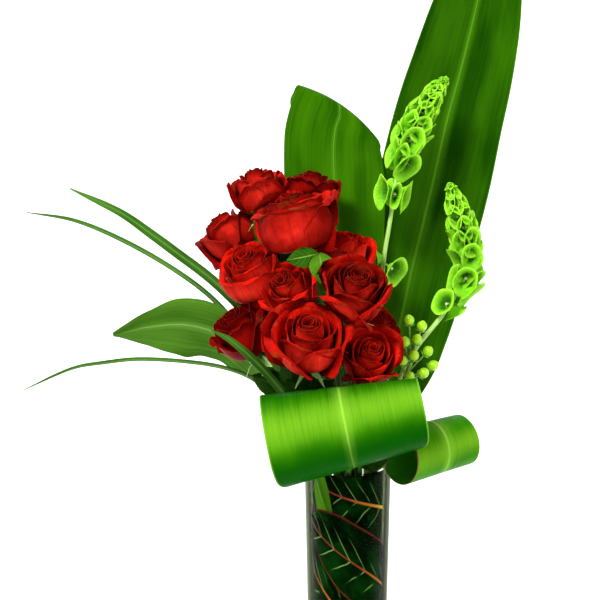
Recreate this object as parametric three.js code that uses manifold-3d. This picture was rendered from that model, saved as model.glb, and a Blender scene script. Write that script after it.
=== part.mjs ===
// Twelve red roses with tall leaves, rolled leaves, lily grass, bells of Ireland and
// hypericum berries, standing in a tapered glass vase lined with croton leaves.
// Millimetres, +Z up, +X to the right and -Y towards the viewer.
// The origin is the centre of the vase's base, on the surface that it stands on.
import * as THREE from "three";
import { mergeVertices } from "three/addons/utils/BufferGeometryUtils.js";
import Module from "manifold-3d";

const wasm = await Module();
wasm.setup();

const UP = new THREE.Vector3(0, 0, 1);
const vec = (p) => new THREE.Vector3(...p);
const rad = THREE.MathUtils.degToRad;
const { lerp, clamp } = THREE.MathUtils;

// The vase.
const VASE_HEIGHT = 235;
const RIM_RADIUS = 40;
const BASE_RADIUS = 35;
const WALL = 3;
const FLOOR = 10;
const EASE = 1;
const ROUND_SIDES = 24;

// What stands in it.
const GAP = 0.4;
const WATER_LEVEL = 185;
const WATER_INSET = 4.9;
const STEM_FOOT = FLOOR + GAP;
const STEM_MOUTH = 228;
const STEM_RADIUS = 2.7;
const STEM_RISE = 0.45;
const HOLE_CLEARANCE = 0.5;
const STEM_SIDES = 5;
const INNER_RING = { radius: 11.5, slots: 7 };
const OUTER_RING = { radius: 22.5, slots: 14 };

// Leaves and petals.
const LEAF_THICKNESS = 0.9;
const PETAL_THICKNESS = 1;
const GRASS_THICKNESS = 0.9;
const SEPAL_THICKNESS = 0.7;
const GOLDEN_TURN = 137.5;

// How finely a rose is made: its tight and loose petals, and the facets across a loose petal.
// The roses that face the viewer are the fullest.
const FULL = { tight: 3, loose: 6, columns: 4 };
const PLAIN = { tight: 3, loose: 5, columns: 3 };
const SPARSE = { tight: 3, loose: 4, columns: 3 };

// Each rose: the middle of its bloom, how far it leans from upright and to which compass
// direction (-90 is towards the viewer), its radius, height, first petal's direction, how far
// its outer petals open, the slot its stem stands in, and how soon the stem straightens below it.
const ROSES = [
  {
    middle: [-82, 38, 484], lean: 14, toward: 175, radius: 27, height: 45, turn: 20, open: 1.1,
    slot: ["inner", 4], reach: 60, make: SPARSE,
  },
  {
    middle: [-34, 54, 481], lean: 8, toward: 60, radius: 27, height: 44, turn: 200, open: 1.1,
    slot: ["inner", 3], reach: 60, make: SPARSE,
  },
  {
    middle: [-48, -4, 459], lean: 14, toward: -165, radius: 38, height: 57, turn: 250, open: 1.3,
    slot: ["centre", 0], reach: 30, make: FULL,
  },
  {
    middle: [-109, 46, 441], lean: 40, toward: 170, radius: 31, height: 49, turn: 80, open: 1.05,
    slot: ["outer", 8], reach: 50, make: SPARSE,
  },
  {
    middle: [-87, 6, 412], lean: 38, toward: -125, radius: 33, height: 51, turn: 300, open: 1.05,
    slot: ["inner", 5], reach: 30, make: PLAIN,
  },
  {
    middle: [-3, 24, 427], lean: 16, toward: -65, radius: 28, height: 43, turn: 120, open: 1.15,
    slot: ["inner", 2], reach: 50, make: SPARSE,
  },
  {
    middle: [-53, -22, 398], lean: 48, toward: -125, radius: 28, height: 44, turn: 32, open: 1.1,
    slot: ["inner", 6], reach: 12, make: PLAIN,
  },
  {
    middle: [4, -44, 400], lean: 35, toward: -82, radius: 34, height: 52, turn: 230, open: 1.2,
    slot: ["inner", 0], reach: 24, make: FULL,
  },
  {
    middle: [-95, -21, 361], lean: 36, toward: -160, radius: 32, height: 49, turn: 150, open: 1.05,
    slot: ["outer", 11], reach: 34, make: PLAIN,
  },
  {
    middle: [-36, -60, 359], lean: 36, toward: -93, radius: 36, height: 55, turn: 340, open: 1.25,
    slot: ["outer", 13], reach: 30, make: FULL,
  },
  {
    middle: [18, -36, 341], lean: 52, toward: -82, radius: 29, height: 45, turn: 102, open: 1.08,
    slot: ["outer", 1], reach: 8, make: PLAIN,
  },
  {
    middle: [24, 13, 361], lean: 50, toward: -35, radius: 25, height: 40, turn: 100, open: 1.05,
    slot: ["inner", 1], reach: 4, make: SPARSE,
  },
];
// The order in which blooms press on each other: an earlier one keeps its shape.
const PRESS_ORDER = [10, 8, 11, 3, 5, 9, 7, 12, 6, 1, 2, 4];

// Colours.
const COLOURS = {
  petal: [0.55, 0.02, 0.02, 0.6],
  stem: [0.2, 0.36, 0.08, 0.6],
  leaf: [0.1, 0.32, 0.03, 0.45],
  rolled: [0.16, 0.46, 0.03, 0.4],
  grass: [0.12, 0.33, 0.05, 0.5],
  bells: [0.4, 0.68, 0.1, 0.6],
  berry: [0.5, 0.7, 0.08, 0.4],
  croton: [0.02, 0.06, 0.02, 0.4],
  glass: [0.85, 0.92, 0.9, 0.05],
  water: [0.8, 0.9, 0.9, 0.1],
};

function material(name) {
  const [r, g, b, roughness] = COLOURS[name];
  const clear = name === "glass" || name === "water";
  return new THREE.MeshStandardMaterial({
    color: new THREE.Color(r, g, b),
    roughness,
    metalness: 0,
    transparent: clear,
    opacity: clear ? 0.35 : 1,
  });
}

// Solids.

// A manifold solid from a closed three.js geometry, turned right side out.
function solidOf(geometry) {
  const bare = new THREE.BufferGeometry();
  bare.setAttribute("position", geometry.getAttribute("position"));
  if (geometry.index) bare.setIndex(geometry.index);
  const merged = mergeVertices(bare, 1e-3);
  const index = [...merged.index.array];
  const faces = [];
  for (let i = 0; i < index.length; i += 3) {
    const [a, b, c] = index.slice(i, i + 3);
    if (a !== b && b !== c && a !== c) faces.push(a, b, c);
  }
  const vertProperties = new Float32Array(merged.attributes.position.array);
  const build = (list) =>
    new wasm.Manifold(new wasm.Mesh({ numProp: 3, vertProperties, triVerts: new Uint32Array(list) }));
  const made = build(faces);
  return made.volume() > 0 ? made : build(faces.reverse());
}

function union(solids) {
  return solids.reduce((whole, next) => whole.add(next));
}

// The largest body of a solid: scraps cut loose from it are dropped and sealed hollows filled.
function largest(solid) {
  return solid.decompose().reduce((a, b) => (a.volume() > b.volume() ? a : b));
}

function meshOf(name, solid, colour) {
  const { numProp, vertProperties, triVerts } = solid.getMesh();
  const geometry = new THREE.BufferGeometry();
  const positions = new Float32Array((vertProperties.length / numProp) * 3);
  for (let i = 0; i < positions.length / 3; i++)
    positions.set(vertProperties.subarray(i * numProp, i * numProp + 3), i * 3);
  geometry.setAttribute("position", new THREE.BufferAttribute(positions, 3));
  geometry.setIndex(new THREE.BufferAttribute(new Uint32Array(triVerts), 1));
  geometry.computeVertexNormals();
  const mesh = new THREE.Mesh(geometry, material(colour));
  mesh.name = name;
  return mesh;
}

// A solid of revolution about +Z from [radius, height] pairs that start and end on the axis.
function turned(profile, sides) {
  const points = profile.map(([r, z]) => new THREE.Vector2(r, z));
  return new THREE.LatheGeometry(points, sides).rotateX(Math.PI / 2);
}

function indexed(points, faces) {
  const geometry = new THREE.BufferGeometry().setFromPoints(points);
  geometry.setIndex(faces);
  return geometry;
}

// A thin closed sheet. at(s, t) is its middle surface, with s from 0 to 1 along it and t from
// -1 to 1 across it. Both faces are split alike, so they never cross.
function blade(at, alongSteps, acrossSteps, thickness) {
  const rows = alongSteps.map((s) => acrossSteps.map((t) => at(s, t)));
  const [m, n] = [alongSteps.length, acrossSteps.length];
  const pick = (i, j) => rows[clamp(i, 0, m - 1)][clamp(j, 0, n - 1)];
  const sides = [[], []];
  for (let i = 0; i < m; i++)
    for (let j = 0; j < n; j++) {
      const along = pick(i + 1, j).clone().sub(pick(i - 1, j));
      const across = pick(i, j + 1).clone().sub(pick(i, j - 1));
      const half = along.cross(across).setLength(thickness / 2);
      sides[0].push(rows[i][j].clone().add(half));
      sides[1].push(rows[i][j].clone().sub(half));
    }
  const faces = [];
  const id = (side, i, j) => side * m * n + i * n + j;
  const quad = (a, b, c, d) => faces.push(a, b, c, a, c, d);
  for (let i = 0; i + 1 < m; i++)
    for (let j = 0; j + 1 < n; j++) {
      quad(id(0, i, j), id(0, i + 1, j), id(0, i + 1, j + 1), id(0, i, j + 1));
      const [a, b, c, d] = [id(1, i, j), id(1, i + 1, j), id(1, i + 1, j + 1), id(1, i, j + 1)];
      faces.push(a, c, b, a, d, c);
    }
  for (let i = 0; i + 1 < m; i++) {
    quad(id(0, i + 1, 0), id(0, i, 0), id(1, i, 0), id(1, i + 1, 0));
    quad(id(0, i, n - 1), id(0, i + 1, n - 1), id(1, i + 1, n - 1), id(1, i, n - 1));
  }
  for (let j = 0; j + 1 < n; j++) {
    quad(id(0, 0, j), id(0, 0, j + 1), id(1, 0, j + 1), id(1, 0, j));
    quad(id(0, m - 1, j + 1), id(0, m - 1, j), id(1, m - 1, j), id(1, m - 1, j + 1));
  }
  return indexed([...sides[0], ...sides[1]], faces);
}

const steps = (count, from = 0, to = 1) =>
  Array.from({ length: count + 1 }, (_, i) => lerp(from, to, i / count));

// A closed tube through points, with a radius at each, whose section never twists.
function tube(points, radii, sides) {
  const rings = [];
  let side = null;
  points.forEach((p, i) => {
    const ahead = points[Math.min(i + 1, points.length - 1)];
    const behind = points[Math.max(i - 1, 0)];
    const along = ahead.clone().sub(behind).normalize();
    if (!side) side = Math.abs(along.x) < 0.9 ? new THREE.Vector3(1, 0, 0) : new THREE.Vector3(0, 1, 0);
    side.addScaledVector(along, -side.dot(along)).normalize();
    const other = along.clone().cross(side);
    for (let k = 0; k < sides; k++) {
      const angle = (2 * Math.PI * k) / sides;
      rings.push(
        p.clone()
          .addScaledVector(side, radii[i] * Math.cos(angle))
          .addScaledVector(other, radii[i] * Math.sin(angle)),
      );
    }
  });
  const faces = [];
  for (let i = 0; i + 1 < points.length; i++)
    for (let k = 0; k < sides; k++) {
      const [a, b] = [i * sides + k, i * sides + ((k + 1) % sides)];
      faces.push(a, b, b + sides, a, b + sides, a + sides);
    }
  const last = (points.length - 1) * sides;
  for (let k = 1; k + 1 < sides; k++) faces.push(0, k + 1, k, last, last + k, last + k + 1);
  return indexed(rings, faces);
}

// Points along a smooth curve through the given ones.
function through(points, count) {
  return new THREE.CatmullRomCurve3(points, false, "centripetal").getPoints(count);
}

// Value of a curve given as [station, value] pairs.
function graph(pairs, s) {
  const next = pairs.findIndex(([station]) => station >= s);
  if (next <= 0) return pairs[Math.max(next, 0)][1];
  const [[s0, v0], [s1, v1]] = [pairs[next - 1], pairs[next]];
  return lerp(v0, v1, (s - s0) / (s1 - s0));
}

// Where stems stand.

function slotAt(ring, place) {
  if (ring === "centre") return [0, 0];
  const { radius, slots } = ring === "inner" ? INNER_RING : OUTER_RING;
  const angle = rad(-90 + (360 / slots) * place);
  return [radius * Math.cos(angle), radius * Math.sin(angle)];
}

const holes = [];

// The straight foot of a stem in its slot, which also keeps a plain hole open in the water.
function foot(slot, radius) {
  const [x, y] = slotAt(...slot);
  holes.push({ x, y, radius: radius + HOLE_CLEARANCE });
  return [vec([x, y, STEM_FOOT]), vec([x, y, STEM_MOUTH])];
}

// A stem's line: straight up its slot, then a bend that ends at `top` in direction `heading`.
function stemLine(slot, radius, top, heading, reach, count) {
  const straight = foot(slot, radius);
  const start = straight[1];
  const rise = start.distanceTo(top) * STEM_RISE;
  const bend = new THREE.CubicBezierCurve3(
    start,
    start.clone().addScaledVector(UP, rise),
    top.clone().addScaledVector(heading, -reach),
    top,
  );
  return [straight[0], ...bend.getPoints(count)];
}

const innerRadius = (z) => lerp(BASE_RADIUS, RIM_RADIUS, z / VASE_HEIGHT) - WALL;

// The vase, its water and the leaves that line it.

function vase() {
  const profile = [
    [0, 0],
    [BASE_RADIUS - EASE, 0],
    [lerp(BASE_RADIUS, RIM_RADIUS, 0.01), 2 * EASE],
    [RIM_RADIUS, VASE_HEIGHT - EASE],
    [RIM_RADIUS - WALL / 2, VASE_HEIGHT],
    [RIM_RADIUS - WALL, VASE_HEIGHT - EASE],
    [innerRadius(FLOOR), FLOOR],
    [0, FLOOR],
  ];
  return solidOf(turned(profile, ROUND_SIDES));
}

function water() {
  const body = turned(
    [
      [0, FLOOR + GAP],
      [innerRadius(FLOOR) - WATER_INSET, FLOOR + GAP],
      [innerRadius(WATER_LEVEL) - WATER_INSET, WATER_LEVEL],
      [0, WATER_LEVEL],
    ],
    ROUND_SIDES / 2,
  );
  const bores = holes.map(({ x, y, radius }) =>
    solidOf(tube([vec([x, y, 0]), vec([x, y, VASE_HEIGHT])], [radius, radius], STEM_SIDES)),
  );
  return bores.reduce((left, bore) => left.subtract(bore), solidOf(body));
}

// Leaves pressed round the inside of the glass. The rib of each runs from its tip to its stalk,
// from one compass direction and height to another, and its layer counts inwards from the glass.
const LINER_THICKNESS = 0.8;
const LINER_PITCH = 1.25;
const LINER_TOP = VASE_HEIGHT - 6;
const LINER_FOOT = FLOOR + 2;
const LINER_STEP = 15;
const LINER_OUTLINE = [[0, 0.06], [0.12, 0.6], [0.3, 0.94], [0.5, 1], [0.72, 0.9], [0.9, 0.5], [1, 0.1]];
const LINER_LEAVES = [
  { name: "croton_leaf_1", from: [-205, 232], to: [50, 178], half: 29, layer: 2 },
  { name: "croton_leaf_2", from: [-186, 199], to: [62, 84], half: 33, layer: 3 },
  { name: "croton_leaf_3", from: [-262, 192], to: [-10, 62], half: 34, layer: 2 },
  { name: "croton_leaf_4", from: [-215, 84], to: [45, 44], half: 36, layer: 1 },
  { name: "lining_leaf", from: [-118, 186], to: [-178, 236], half: 17, layer: 1 },
];

function linerLeaf({ from, to, half, layer }) {
  const count = Math.round(Math.abs(to[0] - from[0]) / LINER_STEP) + 1;
  const at = (s, t) => {
    const angle = rad(lerp(from[0], to[0], s));
    const height = lerp(from[1], to[1], s) + t * half * graph(LINER_OUTLINE, s);
    const z = clamp(height, LINER_FOOT, LINER_TOP);
    const r = innerRadius(z) - LINER_PITCH * (layer - 0.4);
    return vec([r * Math.cos(angle), r * Math.sin(angle), z]);
  };
  return solidOf(blade(at, steps(count), [-1, 1], LINER_THICKNESS));
}

// Broad leaves.

// A leaf's stalk: up from its slot to the root of the blade, where it runs on into the rib.
function petiole(slot, radius, root, rib) {
  const start = foot(slot, radius);
  const inward = root.clone().lerp(rib, 0.5);
  const line = [start[0], ...through([start[1], root, inward], 4)];
  return solidOf(tube(line, line.map(() => radius), STEM_SIDES));
}

// A leaf blade along a spine. `side` gives the direction across it at s, `half` its half
// width as a graph, `fold` how far the edges stand up from the rib as a share of the width.
function broadLeaf({ spine, side, half, fold, wave = 0, waves = 0, along, across, slot, stalk }) {
  const curve = new THREE.CatmullRomCurve3(spine.map(vec), false, "centripetal");
  const at = (s, t) => {
    const middle = curve.getPointAt(s);
    const sideways = vec(side(s));
    const heading = curve.getTangentAt(s);
    sideways.addScaledVector(heading, -sideways.dot(heading)).normalize();
    const normal = heading.clone().cross(sideways).normalize();
    const width = graph(half, s);
    const lift = fold * Math.abs(t) * width + wave * t * Math.sin(2 * Math.PI * waves * s);
    return middle.addScaledVector(sideways, width * t).addScaledVector(normal, lift);
  };
  const sheet = solidOf(blade(at, steps(along), steps(across, -1, 1), LEAF_THICKNESS));
  return sheet.add(petiole(slot, stalk, at(0, 0), at(1 / along, 0)));
}

const constant = (direction) => () => direction;

const TALL_RIGHT_LEAF = {
  spine: [[10, 26, 240], [36, 56, 290], [51, 80, 348], [66, 94, 412], [83, 101, 483], [97, 103, 546],
    [111, 103, 600], [125, 102, 661], [134, 99, 712], [141, 95, 757]],
  side: constant([0.97, 0.1, -0.23]),
  half: [[0, 3], [0.1, 24], [0.2, 43], [0.34, 53], [0.5, 54.5], [0.64, 53], [0.76, 49], [0.86, 38],
    [0.94, 23], [1, 2]],
  fold: -0.16,
  along: 12,
  across: 2,
  slot: ["outer", 6],
  stalk: 3,
};

// The tall leaf on the left, laid out flat: middle x, height, half width, how steeply its rows
// slant, and depth. It then rolls back over a slanting bow, so that its tip hangs behind it.
const TALL_LEFT_LEAF = [
  [-2, 240, 3, 0, 24], [-3, 284, 24, 0, 40], [-5, 330, 37, 0, 54], [-7, 378, 42, 0, 65],
  [-9, 430, 45, 0, 74], [-11, 485, 48, -0.08, 81], [-12, 520, 47, -0.25, 85], [-10, 540, 43, -0.5, 87],
  [-6, 553, 39, -0.67, 88], [-6, 560, 37, -0.67, 88], [-7, 567, 34, -0.67, 88], [-7, 574, 30, -0.67, 88],
  [-8, 582, 25, -0.67, 88], [-9, 593, 16, -0.67, 88], [-10, 605, 3, -0.67, 88],
];
const FOLD = { on: [-4, 562], along: [0.83, -0.557], radius: 6, bow: 0.0035 };
const TALL_LEFT_ARCH = 3;

function tallLeftLeaf() {
  const at = (row, t) => {
    const [middle, height, half, slant, depth] = TALL_LEFT_LEAF[row];
    const x = middle + half * t;
    const z = height + slant * half * t;
    const off = [x - FOLD.on[0], z - FOLD.on[1]];
    const aside = off[0] * FOLD.along[0] + off[1] * FOLD.along[1];
    const above = off[1] * FOLD.along[0] - off[0] * FOLD.along[1];
    const beyond = above + FOLD.radius + FOLD.bow * aside * aside;
    const y = depth + TALL_LEFT_ARCH * (1 - t * t);
    if (beyond < 0) return vec([x, y, z]);
    const angle = Math.min(beyond / FOLD.radius, Math.PI);
    const hang = Math.max(beyond - Math.PI * FOLD.radius, 0);
    const climb = FOLD.radius * Math.sin(angle) - hang - beyond;
    return vec([
      x - climb * FOLD.along[1],
      y + FOLD.radius * (1 - Math.cos(angle)),
      z + climb * FOLD.along[0],
    ]);
  };
  const rows = TALL_LEFT_LEAF.map((_, row) => row);
  const sheet = solidOf(blade(at, rows, [-1, 0, 1], LEAF_THICKNESS));
  return sheet.add(petiole(["outer", 7], 3, at(0, 0), at(1, 0)));
}

const LOW_LEFT_LEAF = {
  spine: [[-24, 7, 240], [-44, 9, 265], [-62, 13, 292], [-86, 18, 327], [-113, 20, 350],
    [-146, 20, 361], [-182, 18, 360], [-216, 14, 353]],
  side: (s) => [-0.45 * (1 - s), -0.3, 1],
  half: [[0, 3], [0.12, 12], [0.3, 22], [0.5, 27], [0.68, 26], [0.85, 17], [0.95, 8], [1, 2]],
  fold: 0.12,
  wave: 2,
  waves: 3,
  along: 10,
  across: 2,
  slot: ["outer", 10],
  stalk: 2.6,
};

// A leaf rolled over the rim: it rises from its slot behind the roll, comes over the top,
// down the front and back underneath. `ends` are the middles of the roll's two open ends
// and `radii` its radius at each.
function rolledLeaf({ ends, radii, arc, wall, half, skew = 0, along, across, slot, stalk }) {
  const [near, far] = ends.map(vec);
  const axis = far.clone().sub(near).normalize();
  const outward = axis.clone().cross(UP).normalize();
  const upward = outward.clone().cross(axis).normalize();
  const halfLength = near.distanceTo(far) / 2;
  const middle = near.clone().add(far).multiplyScalar(0.5);
  const at = (s, t) => {
    const share = t * graph(half, s) - (skew * s * (1 - t)) / 2;
    const angle = rad(lerp(arc[0], arc[1], s));
    const radius = lerp(radii[0], radii[1], (share + 1) / 2) * graph(wall, s);
    return middle.clone()
      .addScaledVector(axis, share * halfLength)
      .addScaledVector(outward, radius * Math.cos(angle))
      .addScaledVector(upward, radius * Math.sin(angle));
  };
  const sheet = solidOf(blade(at, steps(along), steps(across, -1, 1), LEAF_THICKNESS));
  return sheet.add(petiole(slot, stalk, at(0, 0), at(1 / along, 0)));
}

const FRONT_ROLL = {
  ends: [[-71, -73, 273], [63, -73, 300]],
  radii: [41, 30],
  arc: [212, -128],
  wall: [[0, 0.95], [0.12, 1], [0.9, 1], [1, 0.9]],
  half: [[0, 0.05], [0.1, 0.5], [0.2, 0.95], [0.26, 1], [0.8, 1], [0.88, 0.75], [1, 0.2]],
  along: 18,
  across: 2,
  slot: ["outer", 0],
  stalk: 2.6,
};

const SIDE_ROLL = {
  ends: [[48, -57, 257], [103, -17, 262]],
  radii: [24.5, 23],
  arc: [175, -170],
  wall: [[0, 1], [0.6, 1], [1, 0.86]],
  half: [[0, 0.1], [0.12, 0.6], [0.22, 1], [0.9, 1], [1, 0.7]],
  skew: 0.3,
  along: 15,
  across: 2,
  slot: ["outer", 2],
  stalk: 2.6,
};

// Lily grass.

// One narrow grass blade, keeled along its middle.
function grassBlade(points, halfWidth, side) {
  const curve = new THREE.CatmullRomCurve3(points.map(vec), false, "centripetal");
  const at = (s, t) => {
    const heading = curve.getTangentAt(s);
    const sideways = vec(side).addScaledVector(heading, -vec(side).dot(heading)).normalize();
    const width = halfWidth * graph([[0, 0.6], [0.3, 1], [0.7, 0.9], [1, 0.12]], s);
    return curve.getPointAt(s).addScaledVector(sideways, width * t);
  };
  return solidOf(blade(at, steps(8), [-1, 1], GRASS_THICKNESS));
}

function grassClump({ slot, crown, blades }) {
  const start = foot(slot, STEM_RADIUS);
  const line = [start[0], start[1], vec(crown)];
  const sheath = solidOf(tube(line, line.map(() => STEM_RADIUS), STEM_SIDES));
  return union([sheath, ...blades.map(({ points, half, side }) => grassBlade(points, half, side))]);
}

const BACK_GRASS = {
  slot: ["outer", 9],
  crown: [-18, 14, 240],
  blades: [
    {
      points: [[-17, 14, 236], [-33, 22, 281], [-62, 32, 327], [-91, 37, 366], [-125, 40, 400],
        [-159, 42, 426], [-183, 42, 444], [-210, 42, 463], [-257, 40, 486]],
      half: 4,
      side: [0.5, 0.3, 0.8],
    },
    {
      points: [[-18, 13, 236], [-44, 19, 278], [-72, 24, 319], [-100, 28, 356], [-123, 30, 382],
        [-150, 31, 404], [-201, 31, 435], [-251, 28, 457], [-295, 25, 465]],
      half: 2.4,
      side: [0.4, -0.5, 0.8],
    },
  ],
};

const FRONT_GRASS = {
  slot: ["outer", 12],
  crown: [-19, -15, 240],
  blades: [
    {
      points: [[-18, -14, 236], [-30, -9, 262], [-53, -4, 288], [-72, -3, 305], [-90, -5, 317],
        [-106, -7, 324], [-131, -9, 330], [-189, -13, 335], [-222, -15, 332], [-247, -17, 328],
        [-294, -21, 308]],
      half: 2.2,
      side: [0.2, -0.6, 0.8],
    },
    {
      points: [[-19, -15, 236], [-33, -22, 268], [-46, -30, 290], [-62, -40, 314], [-78, -50, 335],
        [-92, -57, 350], [-106, -61, 362], [-121, -63, 370]],
      half: 3.4,
      side: [0.6, 0.5, 0.6],
    },
  ],
};

// Roses.

// A rose's petals grow from a slender column, each a golden turn from the last: first a few
// tight ones, then loose ones outside them with lower roots. Radii are shares of the bloom's
// radius and heights shares of its height, given for the first and last petal of a band, and
// a spread is half the angle that a petal wraps. A lip flares out and sags towards its corners.
const TIGHT = { belly: [0.2, 0.38], rim: [0.99, 0.93], spread: [80, 68] };
const LOOSE = { belly: [0.5, 0.88], rim: [0.93, 0.8], spread: [66, 58] };
const COLUMN = [[0, 0], [0.13, 0], [0.13, 0.36], [0, 0.44]];
const COLUMN_SIDES = 5;
const LIP_FLARE = 0.02;
const LIP_SAG = 0.09;
const ROOT_RADIUS = 0.08;
const ROOT_STEP = 0.036;
const ROOM_SIDES = 10;
const ROOM_MARGIN = 1.8;
const ROOM_GROWTH = 1.04;
const PETAL_OUTLINE = [[0, 0.5], [0.35, 0.95], [0.75, 1], [1, 0.78]];

function tightPetal(share, root) {
  const belly = lerp(...TIGHT.belly, share);
  return [[ROOT_RADIUS, root], [belly, 0.7], [0.8 * belly, lerp(...TIGHT.rim, share)]];
}

// An outer petal's line from its root to its lip, which turns down where the bloom is open.
function loosePetal(share, root, open) {
  const belly = lerp(...LOOSE.belly, share);
  const rim = lerp(...LOOSE.rim, share);
  const lip = lerp(1, open, share);
  const line = [[ROOT_RADIUS, root], [0.84 * belly, root + 0.14], [belly, 0.54]];
  return share < 1
    ? [...line, [lip * belly, rim]]
    : [...line, [lerp(0.97, lip, 0.55) * belly, rim], [lip * belly, rim - 0.05]];
}

function petal({ radius, height }, line, turn, spread, columns) {
  const at = (s, t) => {
    const [r, z] = line[Math.round(s * (line.length - 1))];
    const angle = rad(turn + spread * graph(PETAL_OUTLINE, s) * t);
    const out = radius * (r + LIP_FLARE * s * t * t);
    return vec([out * Math.cos(angle), out * Math.sin(angle), height * (z - LIP_SAG * s * t * t)]);
  };
  return solidOf(blade(at, steps(line.length - 1), steps(columns, -1, 1), PETAL_THICKNESS));
}

// A bloom standing on the origin, with its axis along +Z.
function bloom({ radius, height, turn, open, make: { tight, loose, columns } }) {
  const size = { radius, height };
  const parts = [solidOf(turned(COLUMN.map(([r, z]) => [r * radius, z * height]), COLUMN_SIDES))];
  for (let k = 0; k < tight + loose; k++) {
    const root = 0.02 + ROOT_STEP * (tight + loose - 1 - k);
    const start = turn + GOLDEN_TURN * k;
    if (k < tight) {
      const share = k / (tight - 1);
      parts.push(petal(size, tightPetal(share, root), start, lerp(...TIGHT.spread, share), 3));
    } else {
      const share = (k - tight) / (loose - 1);
      const line = loosePetal(share, root, open);
      parts.push(petal(size, line, start, lerp(...LOOSE.spread, share), columns));
    }
  }
  return union(parts);
}

// The room that a bloom takes, a little larger than its petals.
function bloomRoom({ radius, height, open }) {
  const outer = loosePetal(1, 0.02, open);
  const [[lipRadius, lipHeight]] = outer.slice(-1);
  const line = [...outer.slice(1, 3), [lipRadius, lipHeight - 0.12], [lipRadius, lipHeight + 0.02]];
  const around = line.map(([r, z]) => [r * radius + ROOM_MARGIN, z * height]);
  const floor = [[0, -GAP], [0.2 * radius, -GAP]];
  const crown = [[0.6 * lipRadius * radius, height], [0, ROOM_GROWTH * height]];
  const profile = [...floor, ...around, ...crown].map(([r, z]) => [ROOM_GROWTH * r, z]);
  return solidOf(turned(profile, ROOM_SIDES));
}

function heading({ lean, toward }) {
  const [tilt, compass] = [rad(lean), rad(toward)];
  return vec([Math.sin(tilt) * Math.cos(compass), Math.sin(tilt) * Math.sin(compass), Math.cos(tilt)]);
}

const baseOf = (rose) => vec(rose.middle).addScaledVector(heading(rose), -rose.height / 2);

// The matrix that stands a bloom on its base, facing its way.
function standing(rose) {
  const turnTo = new THREE.Quaternion().setFromUnitVectors(UP, heading(rose));
  return new THREE.Matrix4().compose(baseOf(rose), turnTo, vec([1, 1, 1]));
}

const placed = (solid, rose) => solid.transform(standing(rose).toArray());

// A pointed leaflet from its root to its tip.
function leaflet(root, tip, halfWidth, side) {
  const length = root.distanceTo(tip);
  const along = tip.clone().sub(root).normalize();
  const sideways = vec(side).addScaledVector(along, -vec(side).dot(along)).normalize();
  const normal = along.clone().cross(sideways);
  const outline = [[0, 0.15], [0.3, 0.95], [0.62, 0.85], [1, 0.06]];
  const at = (s, t) =>
    root.clone()
      .addScaledVector(along, length * s)
      .addScaledVector(sideways, halfWidth * graph(outline, s) * t)
      .addScaledVector(normal, 0.25 * halfWidth * Math.abs(t) - 0.1 * length * s * s);
  return solidOf(blade(at, outline.map(([s]) => s), [-1, 0, 1], LEAF_THICKNESS));
}

// Leaves on the rose stems: the rose that carries them, where on the bent part of its stem they
// grow, the knot where their leaflets meet, and each leaflet's tip, half width and side.
const ROSE_LEAVES = [
  {
    rose: 3,
    spot: 0.9,
    knot: [-33, -29, 431],
    leaflets: [
      { tip: [-57, -38, 424], half: 8, side: [0, 0.4, 1] },
      { tip: [-27, -41, 408], half: 9.5, side: [1, 0, 0.2] },
    ],
  },
  {
    rose: 5,
    spot: 0.95,
    knot: [-66, 27, 405],
    leaflets: [
      { tip: [-76, 29, 452], half: 14, side: [1, -0.2, 0] },
    ],
  },
  {
    rose: 9,
    spot: 0.55,
    knot: [-52, -20, 308],
    leaflets: [
      { tip: [-88, -24, 322], half: 12, side: [0, 0.2, 1] },
      { tip: [-52, -30, 340], half: 11, side: [1, -0.2, 0.2] },
    ],
  },
];

const HIP_LENGTH = 9;
const LEAF_STALK_RADIUS = 0.9;
const SEPAL_REACH = 22;
const SEPAL_TOP = -2.6;
const SEPAL_DROOP = 10;
const SEPAL_HALF_WIDTH = [[0, 2], [1, 0.4]];

// Five narrow sepals that spread from the hip, under the bloom.
function sepals({ turn }) {
  return [0, 72, 144, 216, 288].map((step) => {
    const angle = rad(turn + 36 + step);
    const at = (s, t) => {
      const r = lerp(2, SEPAL_REACH, s);
      const half = graph(SEPAL_HALF_WIDTH, s);
      return vec([
        r * Math.cos(angle) - half * t * Math.sin(angle),
        r * Math.sin(angle) + half * t * Math.cos(angle),
        SEPAL_TOP - SEPAL_DROOP * s * s,
      ]);
    };
    return solidOf(blade(at, [0, 1], [-1, 1], SEPAL_THICKNESS));
  });
}

// A rose's stem with its hip, sepals and leaves, which keep clear of the rooms of all blooms.
function roseStem(rose, number, rooms) {
  const axis = heading(rose);
  const base = baseOf(rose);
  const hip = [[-HIP_LENGTH, STEM_RADIUS], [-3.4, 4.8], [-GAP, 3.6]];
  const neck = base.clone().addScaledVector(axis, -HIP_LENGTH);
  const line = stemLine(rose.slot, STEM_RADIUS, neck, axis, rose.reach, 3);
  const bent = line.slice(1);
  const points = [...line.slice(0, -1), ...hip.map(([drop]) => base.clone().addScaledVector(axis, drop))];
  const radii = [...line.slice(0, -1).map(() => STEM_RADIUS), ...hip.map(([, radius]) => radius)];
  const stalk = solidOf(tube(points, radii, STEM_SIDES));
  const trim = (solid) => rooms.reduce((left, room) => left.subtract(room), solid);
  const leaves = ROSE_LEAVES.filter((leaf) => leaf.rose === number).flatMap(({ spot, knot, leaflets }) => {
    const joint = new THREE.CatmullRomCurve3(bent).getPoint(spot);
    const stem = solidOf(tube([joint, vec(knot)], [LEAF_STALK_RADIUS, LEAF_STALK_RADIUS], 4));
    return [stem, ...leaflets.map(({ tip, half, side }) => leaflet(vec(knot), vec(tip), half, side))];
  });
  const frill = sepals(rose).map((sepal) => placed(sepal, rose));
  return largest(union([stalk, ...[...frill, ...leaves].map(trim)]));
}

// Bells of Ireland.

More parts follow.
